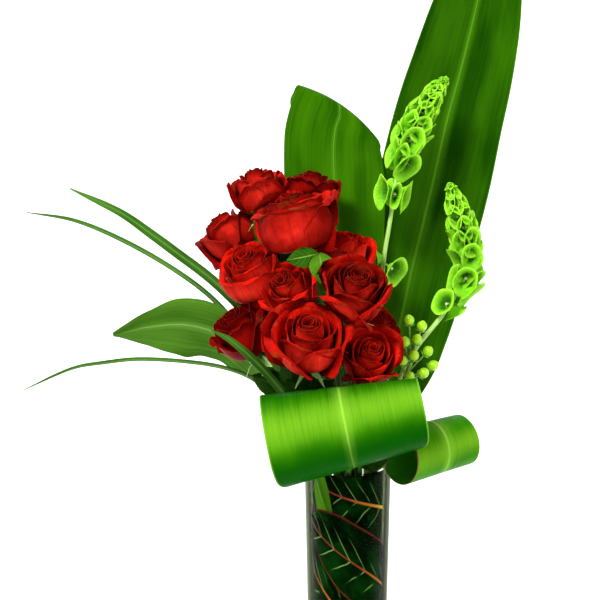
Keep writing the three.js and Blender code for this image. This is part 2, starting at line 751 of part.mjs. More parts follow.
const BELL_SIDES = 5;
const BELL_DEPTH = 1.2;
const BELL_PROFILE = [[0, 0], [0.45, 0.35], [1, 1], [0, 0.42]];
const SPIKE_TIP_RADIUS = 1.8;
const SPIKE_STEPS = 12;

// One green bell, its stalk end at the origin and its mouth towards +Z.
function bell(size) {
  return turned(BELL_PROFILE.map(([r, z]) => [r * size, z * BELL_DEPTH * size]), BELL_SIDES);
}

// A spike of bells. Each whorl: the share of the visible stem where it sits, how many bells
// it has, their mouth radius, the first bell's compass direction and how far they droop.
function bellSpike({ points, slot, whorls }) {
  const start = foot(slot, STEM_RADIUS);
  const curve = new THREE.CatmullRomCurve3([start[1], ...points.map(vec)], false, "centripetal");
  const line = [start[0], ...curve.getSpacedPoints(SPIKE_STEPS)];
  const radii = line.map((_, i) => lerp(STEM_RADIUS, SPIKE_TIP_RADIUS, i / (line.length - 1)));
  const parts = [solidOf(tube(line, radii, STEM_SIDES))];
  for (const { share, count, size, first, droop } of whorls) {
    const root = curve.getPointAt(share);
    const along = curve.getTangentAt(share);
    for (let k = 0; k < count; k++) {
      const compass = rad(first + (360 / count) * k);
      const aim = vec([Math.cos(compass), Math.sin(compass), 0]);
      aim.addScaledVector(along, -aim.dot(along)).setLength(Math.cos(rad(droop)));
      aim.addScaledVector(along, -Math.sin(rad(droop)));
      const turnTo = new THREE.Quaternion().setFromUnitVectors(UP, aim);
      const shape = bell(size).applyQuaternion(turnTo).translate(...root.toArray());
      parts.push(solidOf(shape));
    }
  }
  return union(parts);
}

const BACK_SPIKE = {
  slot: ["outer", 5],
  points: [[21, 27, 285], [30, 43, 350], [34, 44, 417], [40, 45, 456], [45, 47, 490],
    [54, 50, 521], [68, 53, 553], [83, 55, 576], [91, 56, 586]],
  whorls: [
    { share: 0.52, count: 2, size: 12.5, first: -35, droop: 10 },
    { share: 0.7, count: 3, size: 12, first: -90, droop: 55 },
    { share: 0.79, count: 3, size: 12.5, first: -30, droop: 35 },
    { share: 0.84, count: 3, size: 12.5, first: -100, droop: 15 },
    { share: 0.885, count: 3, size: 11.5, first: -40, droop: 5 },
    { share: 0.93, count: 3, size: 10, first: -90, droop: -5 },
    { share: 0.97, count: 2, size: 8, first: -35, droop: -30 },
  ],
};

const SIDE_SPIKE = {
  slot: ["outer", 4],
  points: [[40, 10, 290], [59, 14, 335], [86, 20, 369], [105, 24, 398], [111, 25, 412], [109, 26, 432],
    [103, 27, 460], [93, 28, 490]],
  whorls: [
    { share: 0.62, count: 2, size: 12.5, first: -150, droop: 15 },
    { share: 0.7, count: 3, size: 12.5, first: -30, droop: 20 },
    { share: 0.77, count: 3, size: 12.5, first: -90, droop: 30 },
    { share: 0.83, count: 3, size: 12, first: -35, droop: 15 },
    { share: 0.89, count: 3, size: 10.5, first: -95, droop: 0 },
    { share: 0.955, count: 2, size: 8.5, first: -90, droop: -30 },
  ],
};

// Hypericum.

const BERRY_RADIUS = 4.8;
const BERRY_SIDES = 5;
const SPRIG_RADIUS = 2;
const BERRIES = [
  [55, -2, 369], [67, 2, 363], [62, -6, 352], [59, -10, 338], [72, -5, 341], [49, -8, 333],
  [77, -5, 328], [68, -10, 322], [55, -12, 319], [51, -7, 350], [50, -4, 306],
];
const HYPERICUM_STEM = [[30, -8, 262], [44, -5, 296], [57, -1, 330]];
const SPRIG_LENGTH = 200;
const TWIG_CLIMB = 30;
const FIRST_TWIG = 0.7;

function hypericum() {
  const start = foot(["outer", 3], SPRIG_RADIUS);
  const curve = new THREE.CatmullRomCurve3([start[1], ...HYPERICUM_STEM.map(vec)], false, "centripetal");
  const line = [start[0], ...curve.getSpacedPoints(7)];
  const parts = [solidOf(tube(line, line.map(() => SPRIG_RADIUS), STEM_SIDES))];
  const tip = vec(HYPERICUM_STEM.at(-1));
  for (const spot of BERRIES.map(vec)) {
    const share = 1 - (tip.z + TWIG_CLIMB - spot.z) / SPRIG_LENGTH;
    const branch = curve.getPointAt(clamp(share, FIRST_TWIG, 1));
    const length = branch.distanceTo(spot) / BERRY_RADIUS;
    const profile = [[0, -length], [0.18, -length], [0.18, -1], [1, -0.4], [0.85, 0.65], [0, 1.1]];
    const berry = turned(profile.map(([r, z]) => [r * BERRY_RADIUS, z * BERRY_RADIUS]), BERRY_SIDES);
    const aim = spot.clone().sub(branch).normalize();
    berry.applyQuaternion(new THREE.Quaternion().setFromUnitVectors(UP, aim));
    parts.push(solidOf(berry.translate(...spot.toArray())));
  }
  return union(parts);
}

// The whole arrangement.

const group = new THREE.Group();
const show = (name, solid, colour) => group.add(meshOf(name, largest(solid), colour));

const pressed = new Map();
const rooms = new Map(ROSES.map((rose, i) => [i + 1, placed(bloomRoom(rose), rose)]));
for (const number of PRESS_ORDER) {
  const earlier = [...pressed.keys()].map((other) => rooms.get(other));
  const rose = ROSES[number - 1];
  const shape = earlier.reduce((left, room) => left.subtract(room), placed(bloom(rose), rose));
  pressed.set(number, largest(shape));
}
ROSES.forEach((rose, i) => {
  const number = i + 1;
  const name = "rose_" + String(number).padStart(2, "0");
  show(name + "_bloom", pressed.get(number), "petal");
  show(name + "_stem", roseStem(rose, number, [...rooms.values()]), "stem");
});

show("tall_leaf_right", broadLeaf(TALL_RIGHT_LEAF), "leaf");
show("tall_leaf_left", tallLeftLeaf(), "leaf");
show("low_leaf_left", broadLeaf(LOW_LEFT_LEAF), "leaf");
show("rolled_leaf_front", rolledLeaf(FRONT_ROLL), "rolled");
show("rolled_leaf_side", rolledLeaf(SIDE_ROLL), "rolled");
show("lily_grass_back", grassClump(BACK_GRASS), "grass");
show("lily_grass_front", grassClump(FRONT_GRASS), "grass");
show("bells_of_ireland_back", bellSpike(BACK_SPIKE), "bells");
show("bells_of_ireland_side", bellSpike(SIDE_SPIKE), "bells");
show("hypericum_sprig", hypericum(), "berry");

LINER_LEAVES.forEach((leaf) => show(leaf.name, linerLeaf(leaf), leaf.half > 20 ? "croton" : "leaf"));
show("glass_vase", vase(), "glass");
show("water", water(), "water");

export default group;
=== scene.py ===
"""Twelve red roses with tall and rolled leaves, lily grass, bells of Ireland, berries and a glass vase.

Shapes are worked out in millimetres, in the part's frame (+Z up, -Y towards the viewer), and go
into meshes in metres. Every leaf, petal and bell is a closed thin solid. Each point of a mesh
knows where it lies on its own leaf or petal, and the materials draw veins and tints from that.
"""

import math

import bpy
import numpy as np
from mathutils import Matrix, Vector


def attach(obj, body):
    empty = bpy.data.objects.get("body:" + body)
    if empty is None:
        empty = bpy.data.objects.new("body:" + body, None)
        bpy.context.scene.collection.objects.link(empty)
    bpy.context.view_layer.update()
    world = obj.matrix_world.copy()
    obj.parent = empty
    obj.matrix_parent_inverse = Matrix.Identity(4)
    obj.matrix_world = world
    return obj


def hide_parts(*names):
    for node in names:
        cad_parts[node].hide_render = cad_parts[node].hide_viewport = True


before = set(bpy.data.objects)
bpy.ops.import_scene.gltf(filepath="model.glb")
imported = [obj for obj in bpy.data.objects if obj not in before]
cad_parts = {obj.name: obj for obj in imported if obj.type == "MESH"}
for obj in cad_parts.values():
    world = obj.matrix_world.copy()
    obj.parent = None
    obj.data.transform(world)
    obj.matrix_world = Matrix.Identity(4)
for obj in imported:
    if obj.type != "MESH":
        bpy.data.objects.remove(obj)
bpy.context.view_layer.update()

MM = 0.001

# The vase and the slots in which stems stand, as in the part's source. A ring of slots has a radius
# and a number of slots.
VASE_HEIGHT = 235
RIM_RADIUS = 40
BASE_RADIUS = 35
WALL = 3
FLOOR = 10
WATER_LEVEL = 185
WATER_INSET = 4.9
STEM_FOOT = 10.4
STEM_MOUTH = 228
STEM_RADIUS = 2.7
STEM_RISE = 0.45
RINGS = {"centre": (0, 1), "inner": (11.5, 7), "outer": (22.5, 14)}
GOLDEN_TURN = 137.5

UP = np.array([0.0, 0.0, 1.0])


# Numbers and curves.


def lerp(a, b, share):
    return a + (b - a) * share


def unit(v):
    return v / np.linalg.norm(v, axis=-1, keepdims=True)


def dot(a, b):
    return (a * b).sum(-1, keepdims=True)


def ease(low, high, x):
    """0 below low, 1 above high, smooth between."""
    u = np.clip((x - low) / (high - low), 0, 1)
    return u * u * (3 - 2 * u)


def stations(rows, columns):
    """Shares along and across a grid of points: 0 to 1 down its rows, and -1 to 1 along them."""
    return np.linspace(0, 1, rows)[:, None], np.linspace(-1, 1, columns)[None, :]


def angles(sides):
    return np.linspace(0, 2 * math.pi, sides, endpoint=False)


def xyz(*values):
    """Points, or other threes, from arrays that fit each other's shape."""
    return np.stack(np.broadcast_arrays(*values), -1)


def ray(angle, out, aside, height):
    """Points so far out from an axis in one direction, and so far aside of that direction."""
    cos, sin = math.cos(angle), math.sin(angle)
    return xyz(out * cos - aside * sin, out * sin + aside * cos, height)


def graph(pairs, s):
    """Smooth value at s of a curve given as [station, value] pairs. It never overshoots them."""
    x, y = np.array(pairs, float).T
    gap = np.diff(x)
    slope = np.diff(y) / gap
    bend = np.zeros_like(y)
    product = slope[:-1] * slope[1:]
    turning = product > 0
    bend[1:-1][turning] = 2 * product[turning] / (slope[:-1] + slope[1:])[turning]
    bend[0], bend[-1] = slope[0], slope[-1]
    s = np.asarray(s, float)
    i = np.clip(np.searchsorted(x, s) - 1, 0, len(gap) - 1)
    u = np.clip((s - x[i]) / gap[i], 0, 1)
    ends = y[i] * (2 * u**3 - 3 * u**2 + 1) + y[i + 1] * (3 * u**2 - 2 * u**3)
    return ends + gap[i] * (bend[i] * (u**3 - 2 * u**2 + u) + bend[i + 1] * (u**3 - u**2))


class Line:
    """A smooth curve through points, read by its share of length."""

    STEPS = 24
    AHEAD = 0.004

    def __init__(self, points):
        p = np.array(points, float)
        p = np.vstack([2 * p[0] - p[1], p, 2 * p[-1] - p[-2]])
        knot = np.append(0, np.cumsum(np.linalg.norm(np.diff(p, axis=0), axis=1) ** 0.5))
        pieces = []
        for i in range(1, len(p) - 2):
            t = np.linspace(knot[i], knot[i + 1], self.STEPS, endpoint=False)[:, None]
            pieces.append(self.piece(p[i - 1 : i + 3], knot[i - 1 : i + 3], t))
        self.points = np.vstack([*pieces, p[-2:-1]])
        steps = np.linalg.norm(np.diff(self.points, axis=0), axis=1)
        self.reach = np.append(0, np.cumsum(steps))
        self.length = self.reach[-1]

    @staticmethod
    def piece(p, k, t):
        def between(a, b, low, high):
            return (a * (high - t) + b * (t - low)) / (high - low)

        a, b, c = (between(p[i], p[i + 1], k[i], k[i + 1]) for i in range(3))
        return between(between(a, b, k[0], k[2]), between(b, c, k[1], k[3]), k[1], k[2])

    def at(self, s):
        reach = np.asarray(s, float) * self.length
        return np.stack([np.interp(reach, self.reach, axis) for axis in self.points.T], -1)

    def along(self, s):
        s = np.asarray(s, float)
        return unit(self.at(np.clip(s + self.AHEAD, 0, 1)) - self.at(np.clip(s - self.AHEAD, 0, 1)))


def bezier(a, b, c, d, steps):
    t = np.linspace(0, 1, steps)[:, None]
    return a * (1 - t) ** 3 + 3 * b * t * (1 - t) ** 2 + 3 * c * t**2 * (1 - t) + d * t**3


def turning_to(direction):
    """The least turn that takes +Z to a direction, as a 3 by 3 array."""
    return np.array(Vector((0, 0, 1)).rotation_difference(Vector(direction)).to_matrix())


# Meshes.

# Faces that meet at more than this angle meet in a sharp edge.
CREASE = 42
# What half a turn round a tube or a turned solid counts for in the materials, in millimetres.
HALF_TURN = 10


def put(name, data, spot=(0, 0, 0)):
    """A new object at a spot in metres, linked into the scene."""
    made = bpy.data.objects.new(name, data)
    made.location = spot
    bpy.context.scene.collection.objects.link(made)
    return made


class Build:
    """Gathers closed solids into one mesh. `flow` is each point's share along and across its leaf
    and its side, and `place` the same in millimetres, with a tint that is its leaf's own."""

    def __init__(self):
        self.points, self.flow, self.place = [], [], []
        self.corners, self.sizes, self.slots = [], [], []
        self.count = 0

    def add(self, points, faces, flow, place, slot):
        for kept, rows in ((self.points, points), (self.flow, flow), (self.place, place)):
            kept.append(rows.reshape(-1, 3))
        for block in faces:
            self.corners.append((block + self.count).ravel())
            self.sizes.append(np.full(len(block), block.shape[1]))
            self.slots.append(np.full(len(block), slot))
        self.count += len(self.points[-1])

    def mesh(self, name, materials, crease):
        mesh = bpy.data.meshes.new(name)
        corners, sizes = np.concatenate(self.corners), np.concatenate(self.sizes)
        mesh.vertices.add(self.count)
        mesh.vertices.foreach_set("co", (np.vstack(self.points) * MM).astype(np.float32).ravel())
        mesh.loops.add(len(corners))
        mesh.loops.foreach_set("vertex_index", corners.astype(np.int32))
        mesh.polygons.add(len(sizes))
        starts = np.append(0, np.cumsum(sizes)[:-1])
        slots = np.concatenate(self.slots)
        for label, numbers in (("loop_start", starts), ("loop_total", sizes), ("material_index", slots)):
            mesh.polygons.foreach_set(label, numbers.astype(np.int32))
        for label, rows in (("flow", self.flow), ("place", self.place)):
            layer = mesh.attributes.new(label, "FLOAT_VECTOR", "POINT")
            layer.data.foreach_set("vector", np.vstack(rows).astype(np.float32).ravel())
        mesh.update(calc_edges=True)
        mesh.validate()
        mesh.polygons.foreach_set("use_smooth", [True] * len(mesh.polygons))
        mesh.set_sharp_from_angle(angle=math.radians(crease))
        for material in materials:
            mesh.materials.append(material)
        return mesh


def dress(build, node, ending, slot, materials, crease=CREASE):
    """The finished piece stands for its CAD node and takes its finish from `materials`; `slot` is not used.
    """
    name = f"{node}_{ending}"
    piece = put(name, build.mesh(name, materials, crease))
    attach(piece, "root")
    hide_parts(node)


def grid_faces(rows, columns, closed=False):
    """Quads of a grid of points, numbered by rows. A closed grid joins its last column to its first."""
    i, j = np.indices((rows - 1, columns - (not closed))).reshape(2, -1)
    k = (j + 1) % columns
    return np.stack([i * columns + j, (i + 1) * columns + j, (i + 1) * columns + k, i * columns + k], 1)


def sheet(build, middle, thickness, s, t, length, half, tint=0.5, slot=0, across=None):
    """A thin closed solid about a grid of points, whose stations along and across it are s and t.
    `across` is where they lie across the leaf in millimetres, unless that is t times half."""
    rows, columns = middle.shape[:2]
    normal = unit(np.cross(np.gradient(middle, axis=0), np.gradient(middle, axis=1)))
    offset = normal * np.broadcast_to(thickness, (rows, columns))[..., None] / 2
    side = np.array([1, -1])[:, None, None]
    count = rows * columns
    number = np.arange(count).reshape(rows, columns)
    ring = np.concatenate([number[:0:-1, 0], number[0, :-1], number[:-1, -1], number[-1, :0:-1]])
    after = np.roll(ring, -1)
    rim = np.stack([ring, after, after + count, ring + count], 1)
    top = grid_faces(rows, columns)
    faces = [top, top[:, ::-1] + count, rim]
    place = xyz(s * length, t * half if across is None else across, tint + 0 * side)
    build.add(middle + side[..., None] * offset, faces, xyz(s, t, side), place, slot)


def blade(line, s, t, side, width, rise):
    """A grid of points about a line, so wide to each side of it and raised so far from it."""
    heading = line.along(s[:, 0])[:, None]
    sideways = unit(side - dot(side, heading) * heading)
    normal = np.cross(heading, sideways)
    return line.at(s[:, 0])[:, None] + sideways * (width * t)[..., None] + normal * rise[..., None]


def skin(build, rings, ends, flow, place, slot):
    """A closed solid from rings of points, with a fan of faces to a point at each end."""
    rows, sides = rings.shape[:2]
    first = np.arange(sides)
    second = np.roll(first, -1)
    last = (rows - 1) * sides
    low = np.stack([np.full(sides, rows * sides), second, first], 1)
    high = np.stack([np.full(sides, rows * sides + 1), first + last, second + last], 1)
    faces = [grid_faces(rows, sides, closed=True)[:, ::-1], low, high]
    build.add(np.vstack([rings.reshape(-1, 3), ends]), faces, flow, place, slot)


def ring_flow(shares, sides):
    """The flow of the points of a skin whose rings lie at these shares of its length."""
    around = np.linspace(-1, 1, sides, endpoint=False)
    flow = xyz(np.array(shares)[:, None], around[None, :], 1.0).reshape(-1, 3)
    return np.vstack([flow, [0, 0, 1], [1, 0, 1]])


def tube(build, points, radii, sides=12, slot=0, tint=0.5):
    """A closed round tube through points, whose section never twists."""
    points = np.asarray(points, float)
    along = unit(np.gradient(points, axis=0))
    side = np.array([1.0, 0, 0]) if abs(along[0][0]) < 0.9 else np.array([0, 1.0, 0])
    angle = angles(sides)[:, None]
    rings = []
    for point, radius, ahead in zip(points, np.broadcast_to(radii, len(points)), along):
        side = unit(side - dot(side, ahead) * ahead)
        rings.append(point + radius * (np.cos(angle) * side + np.sin(angle) * np.cross(ahead, side)))
    reach = np.append(0, np.cumsum(np.linalg.norm(np.diff(points, axis=0), axis=1)))
    flow = ring_flow(reach / reach[-1], sides)
    place = xyz(flow[:, 0] * reach[-1], flow[:, 1] * HALF_TURN, tint)
    skin(build, np.array(rings), points[[0, -1]], flow, place, slot)


def turned(build, profile, sides, turn_to=np.eye(3), spot=(0, 0, 0), slot=0, tint=0.5):
    """A solid of revolution from [radius, height] pairs that start and end on the axis."""
    profile = np.array(profile, float)
    ring = xyz(np.cos(angles(sides)), np.sin(angles(sides)), 0)
    rings = np.array([r * ring + [0, 0, z] for r, z in profile[1:-1]])
    ends = xyz(0, 0, profile[[0, -1], 1])
    flow = ring_flow(np.linspace(0, 1, len(rings)), sides)
    place = xyz(np.append(rings[..., 2], ends[:, 2]), flow[:, 1] * HALF_TURN, tint)
    skin(build, rings @ turn_to.T + spot, ends @ turn_to.T + spot, flow, place, slot)


# Materials.


class Value:
    """A number or colour that nodes work out. Sums with it make more nodes."""

    def __init__(self, finish, socket):
        self.finish, self.socket = finish, socket

    def __add__(self, other):
        return self.finish.math("ADD", self, other)

    def __sub__(self, other):
        return self.finish.math("SUBTRACT", self, other)

    def __mul__(self, other):
        return self.finish.math("MULTIPLY", self, other)

    def __truediv__(self, other):
        return self.finish.math("DIVIDE", self, other)

    def __abs__(self):
        return self.finish.math("ABSOLUTE", self)

    def rise(self, low, high, start=0, end=1):
        """Goes smoothly from start to end as this value goes from low to high."""
        inputs = {"Value": self, "From Min": low, "From Max": high, "To Min": start, "To Max": end}
        return self.finish.node("MapRange", "Result", inputs, interpolation_type="SMOOTHSTEP")


class Finish:
    """A material whose colour and relief are laid on one call at a time."""

    def __init__(self, name, **sockets):
        self.material = bpy.data.materials.new(name)
        self.material.use_nodes = True
        self.tree = self.material.node_tree
        self.shader = self.tree.nodes["Principled BSDF"]
        self.colour = self.normal = None
        for label, value in sockets.items():
            self.shader.inputs[label.replace("_", " ")].default_value = value

    def feed(self, socket, value):
        if isinstance(value, Value):
            self.tree.links.new(value.socket, socket)
        else:
            socket.default_value = (*value, 1) if isinstance(value, tuple) else value

    def node(self, kind, output, inputs=None, **settings):
        """One output of a new node."""
        made = self.tree.nodes.new("ShaderNode" + kind)
        for key, value in settings.items():
            setattr(made, key, value)
        for key, value in (inputs or {}).items():
            self.feed(made.inputs[key], value)
        return Value(self, made.outputs[output])

    def math(self, operation, *values):
        return self.node("Math", 0, dict(enumerate(values)), operation=operation)

    def larger(self, a, b):
        return self.math("MAXIMUM", a, b)

    def mix(self, share, a, b, blend="MIX"):
        return self.node("Mix", 2, {0: share, 6: a, 7: b}, data_type="RGBA", blend_type=blend)

    def paint(self, share, tone, blend="MIX"):
        """Lays a tone over the colour so far."""
        self.colour = self.mix(share, self.colour, tone, blend)

    def vector(self, *values):
        return self.node("CombineXYZ", 0, dict(enumerate(values)))

    def noise(self, where, scale=1, detail=2, roughness=0.5):
        inputs = {"Vector": where, "Scale": scale, "Detail": detail, "Roughness": roughness}
        return self.node("TexNoise", "Fac", inputs)

    def parts(self, attribute):
        """The three numbers that each point of the mesh holds under this name."""
        read = self.node("Attribute", "Vector", attribute_name=attribute)
        split = self.node("SeparateXYZ", 0, {"Vector": read}).socket.node
        return [Value(self, output) for output in split.outputs]

    def relief(self, height, depth):
        """Adds relief of a real depth in millimetres."""
        inputs = {"Height": height, "Distance": depth * MM}
        if self.normal:
            inputs["Normal"] = self.normal
        self.normal = self.node("Bump", "Normal", inputs)

    def done(self, roughness=None):
        for label, value in (("Base Color", self.colour), ("Roughness", roughness), ("Normal", self.normal)):
            if value is not None:
                self.feed(self.shader.inputs[label], value)
        return self.material


def shade(colour, by):
    return tuple(by * part for part in colour)


def petal_finish():
    """Deep velvety red with burnt rims. A painted highlight lies on the belly outside and along the rims,
    and painted shade at the sides and in the heart."""
    f = Finish("rose_petal", Specular_IOR_Level=0.02, Specular_Tint=(1, 0.28, 0.22, 1), Sheen_Weight=0.015,
               Sheen_Roughness=0.35, Sheen_Tint=(1, 0.1, 0.07, 1), Subsurface_Weight=0.04,
               Subsurface_Scale=0.003, Subsurface_Radius=(1, 0.1, 0.06))
    s, t, side = f.parts("flow")
    along, across, tint = f.parts("place")
    veins = f.noise(f.vector(t * 9, s * 0.9, tint * 31), 2.2, 3, 0.6)
    clouds = f.noise(f.vector(along, across, tint * 57), 0.09, 3)
    fine = f.noise(f.vector(along * 1.6, across * 1.6, tint))
    tone = (clouds * 0.5 + tint * 0.6).rise(0.25, 0.85)
    inner = f.mix(tone, (0.1, 0.0007, 0.0004), (0.6, 0.008, 0.003))
    # Painted shade deep in the heart: the inner face darkens towards the petal's root.
    inner = f.mix(s.rise(0.15, 0.9, 0.78, 0), inner, (0.02, 0.0002, 0.0002))
    # Outside: painted shade at the petal's sides, and a painted highlight on its belly.
    outer = f.mix(tone, (0.07, 0.0006, 0.0004), (0.46, 0.006, 0.002))
    belly_highlight = abs(t).rise(0.95, 0.1) * abs(s - 0.58).rise(0.42, 0.05)
    outer = f.mix(belly_highlight, outer, f.mix(tone, (0.2, 0.002, 0.001), (0.86, 0.034, 0.017)))
    f.colour = f.mix(side.rise(-0.5, 0.5), outer, inner)
    f.paint(veins.rise(0.45, 0.66, 0, 0.34), (0.1, 0.0006, 0.001))
    f.paint(s.rise(0, 0.22, 0.5, 0), (0.22, 0.03, 0.008))
    edge = f.larger(s.rise(0.82, 1), abs(t).rise(0.88, 1))
    burnt = f.mix(clouds.rise(0.54, 0.68), (0.03, 0.0006, 0.0006), (0.07, 0.018, 0.003))
    f.paint(edge * clouds.rise(0.43, 0.6, 0, 0.75), burnt)
    # Painted highlight along the petal's rims.
    f.paint(abs(side).rise(0.95, 0.6) * 0.25, (0.5, 0.04, 0.03))
    f.relief(veins, 0.2)
    f.relief(fine, 0.05)
    return f.done(fine.rise(0.2, 0.8, 0.42, 0.58))


# The tones of a rolled leaf where it faces the light, where it turns away, and inside.
LIT_BAND = (0.115, 0.29, 0.009)
SHADED_BAND = (0.0006, 0.03, 0.0001)
INNER_TONE = (0.035, 0.22, 0.006)


def leaf_finish(name, dark, light, rib, gloss=0.32, rib_width=1.6, streak=0.55, contrast=0.5, face=-1,
                edge=None, bright=None, cut=None, foot=0):
    """A leaf with fine veins that run along it, a pale rib with painted sheen beside it, and a waxy
    gloss. `face` is its upper side. Given four shares of its length, it has a painted highlight from
    the second to the third and painted shade before the first and beyond the last. `edge` is the
    colour of a painted highlight along its edges. `cut` is the colour of its left edge, cut off, and
    `foot` is the share of its length over which painted shade darkens it."""
    f = Finish(name, Specular_IOR_Level=0.02 if bright else 0.03, Specular_Tint=(0.35, 0.75, 0.06, 1),
               Subsurface_Weight=0.03, Subsurface_Scale=0.002, Subsurface_Radius=(0.3, 1, 0.05))
    s, t, side = f.parts("flow")
    along, across, tint = f.parts("place")
    lift = tint * 43
    streaks = f.noise(f.vector(across * streak, along * 0.005, lift), 1, 4, 0.6)
    threads = f.noise(f.vector(across * 1.2, along * 0.012, lift), 1, 1)
    clouds = f.noise(f.vector(across * 0.045, along * 0.011, lift))
    tone = streaks * (0.6 * contrast) + clouds * (1 - 0.6 * contrast)
    f.colour = f.mix(tone.rise(0.28, 0.72), dark, light)
    f.paint(threads.rise(0.5, 0.72, 0, 0.35 * contrast), light)
    upper = side * face
    f.paint(upper.rise(0.5, -0.5, 0, 0.45), tuple(1.4 * part + 0.008 for part in light))
    # A painted highlight band where the roll faces the light, and painted shade where it turns away.
    if bright:
        turn = s + t * 0.025 + (streaks - 0.5) * 0.045
        depth = f.larger(turn.rise(bright[1], bright[0]), turn.rise(bright[2], bright[3]))
        lit = abs(turn - 0.5 * (bright[1] + bright[2]))
        f.paint(lit.rise(0.12, 0, 0, 0.85), LIT_BAND)
        f.paint(depth, f.mix(streaks.rise(0.3, 0.7), SHADED_BAND, shade(SHADED_BAND, 1.7)))
        f.paint(threads.rise(0.48, 0.68, 0, 0.42), (0.45, 0.62, 0.3), "MULTIPLY")
        f.paint(upper.rise(0.5, -0.5, 0, 0.9), INNER_TONE)
    # Painted shade over the lower part of the leaf, towards its root.
    if foot:
        f.paint(s.rise(0.3 * foot, foot, 0.85, 0), shade(dark, 0.5))
    # A narrow pale rib in its own colour, and a wider pale zone beside it that is painted sheen.
    near = abs(across) / s.rise(0, 1, rib_width, 0.35 * rib_width)
    f.paint(near.rise(1, 6, 0.3, 0), rib)
    f.paint(near.rise(0.3, 1.1, 0.8, 0), rib)
    # The painted shade is laid over the rib too.
    if bright:
        f.paint(depth * 0.7, shade(SHADED_BAND, 2.2))
    # Painted highlight along both edges.
    if edge:
        f.paint(abs(t).rise(0.975, 0.99, 0, 0.6), edge)
    if cut:
        f.paint(t.rise(-0.965, -0.985, 0, 0.9), cut)
    f.relief(streaks, 0.2)
    f.relief(threads, 0.08)
    f.relief(near.rise(0.2, 1.6, 1, 0), 0.4)
    return f.done(streaks.rise(0.3, 0.7, gloss - 0.05, gloss + 0.1))


def leaflet_finish():
    """A rose's leaflet, with veins that branch from its rib."""
    f = Finish("rose_leaf", Specular_IOR_Level=0.12, Specular_Tint=(0.4, 0.8, 0.1, 1))
    side = f.parts("flow")[2]
    along, across, tint = f.parts("place")
    reach = abs(across)
    branch = f.math("FRACT", (along - reach * 0.9) * 0.21)
    vein = abs(branch - 0.5).rise(0, 0.12, 1, 0)
    rib = reach.rise(0.25, 0.8, 1, 0)
    clouds = f.noise(f.vector(along, across, tint * 71), 0.14, 3)
    front = f.mix(clouds, (0.005, 0.03, 0.001), (0.025, 0.1, 0.004))
    back = f.mix(clouds, (0.028, 0.095, 0.003), (0.075, 0.19, 0.007))
    f.colour = f.mix(side.rise(-0.5, 0.5), front, back)
    f.paint(vein * 0.22, (0.11, 0.28, 0.02))
    f.paint(rib * 0.6, (0.18, 0.36, 0.04))
    # Painted shade on leaflets with a high tint, which sit low among the blooms.
    f.paint(tint.rise(0.7, 0.75, 0, 0.8), (0.003, 0.018, 0.001))
    f.relief(f.larger(vein, rib), 0.25)
    return f.done(clouds.rise(0.3, 0.7, 0.38, 0.52))


def stem_finish(name, dark, light, roughness=0.45):
    """A smooth stem, mottled along its length."""
    f = Finish(name, Specular_IOR_Level=0.3, Specular_Tint=(0.6, 0.9, 0.3, 1))
    along, across, tint = f.parts("place")
    streaks = f.noise(f.vector(along * 0.05, across, tint * 37), 1, 3)
    specks = f.noise(f.vector(along * 0.7, across * 2, tint), 1, 1)
    f.colour = f.mix(streaks.rise(0.3, 0.7), dark, light)
    f.paint(specks.rise(0.6, 0.8, 0, 0.3), shade(dark, 0.6))
    f.relief(streaks, 0.15)
    return f.done(specks.rise(0.3, 0.7, roughness - 0.06, roughness + 0.08))


def bell_finish():
    """A thin bract with a net of veins, pale at its rim, with painted shade inside it that is deepest at its
    heart.
    """
    f = Finish("bell", Specular_IOR_Level=0.35, Specular_Tint=(0.6, 1, 0.25, 1), Subsurface_Weight=0.08,
               Subsurface_Scale=0.003, Subsurface_Radius=(0.5, 1, 0.1))
    s, t, side = f.parts("flow")
    along, across, tint = f.parts("place")
    where = f.vector(along, across, tint * 23)
    net = f.node("TexVoronoi", "Distance", {"Vector": where, "Scale": 0.34}, feature="DISTANCE_TO_EDGE")
    ribs = abs(f.math("SINE", t * (7.5 * math.pi)))
    clouds = f.noise(where, 0.12)
    inner_shade = f.mix(clouds, (0.006, 0.09, 0.001), (0.025, 0.17, 0.002))
    outside = f.mix(clouds, (0.09, 0.38, 0.002), (0.2, 0.54, 0.008))
    # Painted shade inside the cup, deepest at its foot.
    inside = f.mix(s.rise(0.22, 0.84), inner_shade, outside)
    f.colour = f.mix(side.rise(-0.5, 0.5), outside, inside)
    f.paint(s.rise(0.78, 1), f.mix(clouds, (0.2, 0.54, 0.008), (0.33, 0.7, 0.035)))
    veins = f.larger(net.rise(0, 0.12, 1, 0), ribs.rise(0, 0.22, 0.8, 0))
    f.paint(veins * 0.16, (0.3, 0.6, 0.05))
    f.relief(veins, 0.18)
    return f.done(clouds.rise(0.3, 0.7, 0.38, 0.5))


def berry_finish():
    """Smooth yellow-green skin, paler towards the tip."""
    f = Finish("berry", Specular_IOR_Level=0.3, Subsurface_Weight=0.2, Subsurface_Scale=0.003,
               Coat_Weight=0.2, Coat_Roughness=0.15)
    s = f.parts("flow")[0]
    along, across, tint = f.parts("place")
    clouds = f.noise(f.vector(along, across, tint * 91), 0.25)
    f.colour = f.mix(clouds, (0.22, 0.54, 0.002), (0.4, 0.7, 0.006))
    f.paint(s.rise(0.7, 1, 0, 0.6), (0.56, 0.78, 0.05))
    f.relief(clouds, 0.1)
    return f.done(clouds.rise(0.3, 0.7, 0.25, 0.36))


def plain_finish(name, dark, light):
    """A mottled surface between two tones."""
    f = Finish(name, Specular_IOR_Level=0.4)
    along, across, tint = f.parts("place")
    clouds = f.noise(f.vector(along, across, tint * 17), 0.4)
    f.colour = f.mix(clouds, dark, light)
    f.relief(clouds, 0.08)
    return f.done(clouds.rise(0.3, 0.7, 0.45, 0.55))


# How far apart a croton leaf's side veins are, along its rib.
VEIN_PITCH = 14.5
CROTON_RIB = ((0.22, 0.022, 0.014), (0.42, 0.11, 0.014), (0.55, 0.32, 0.02))


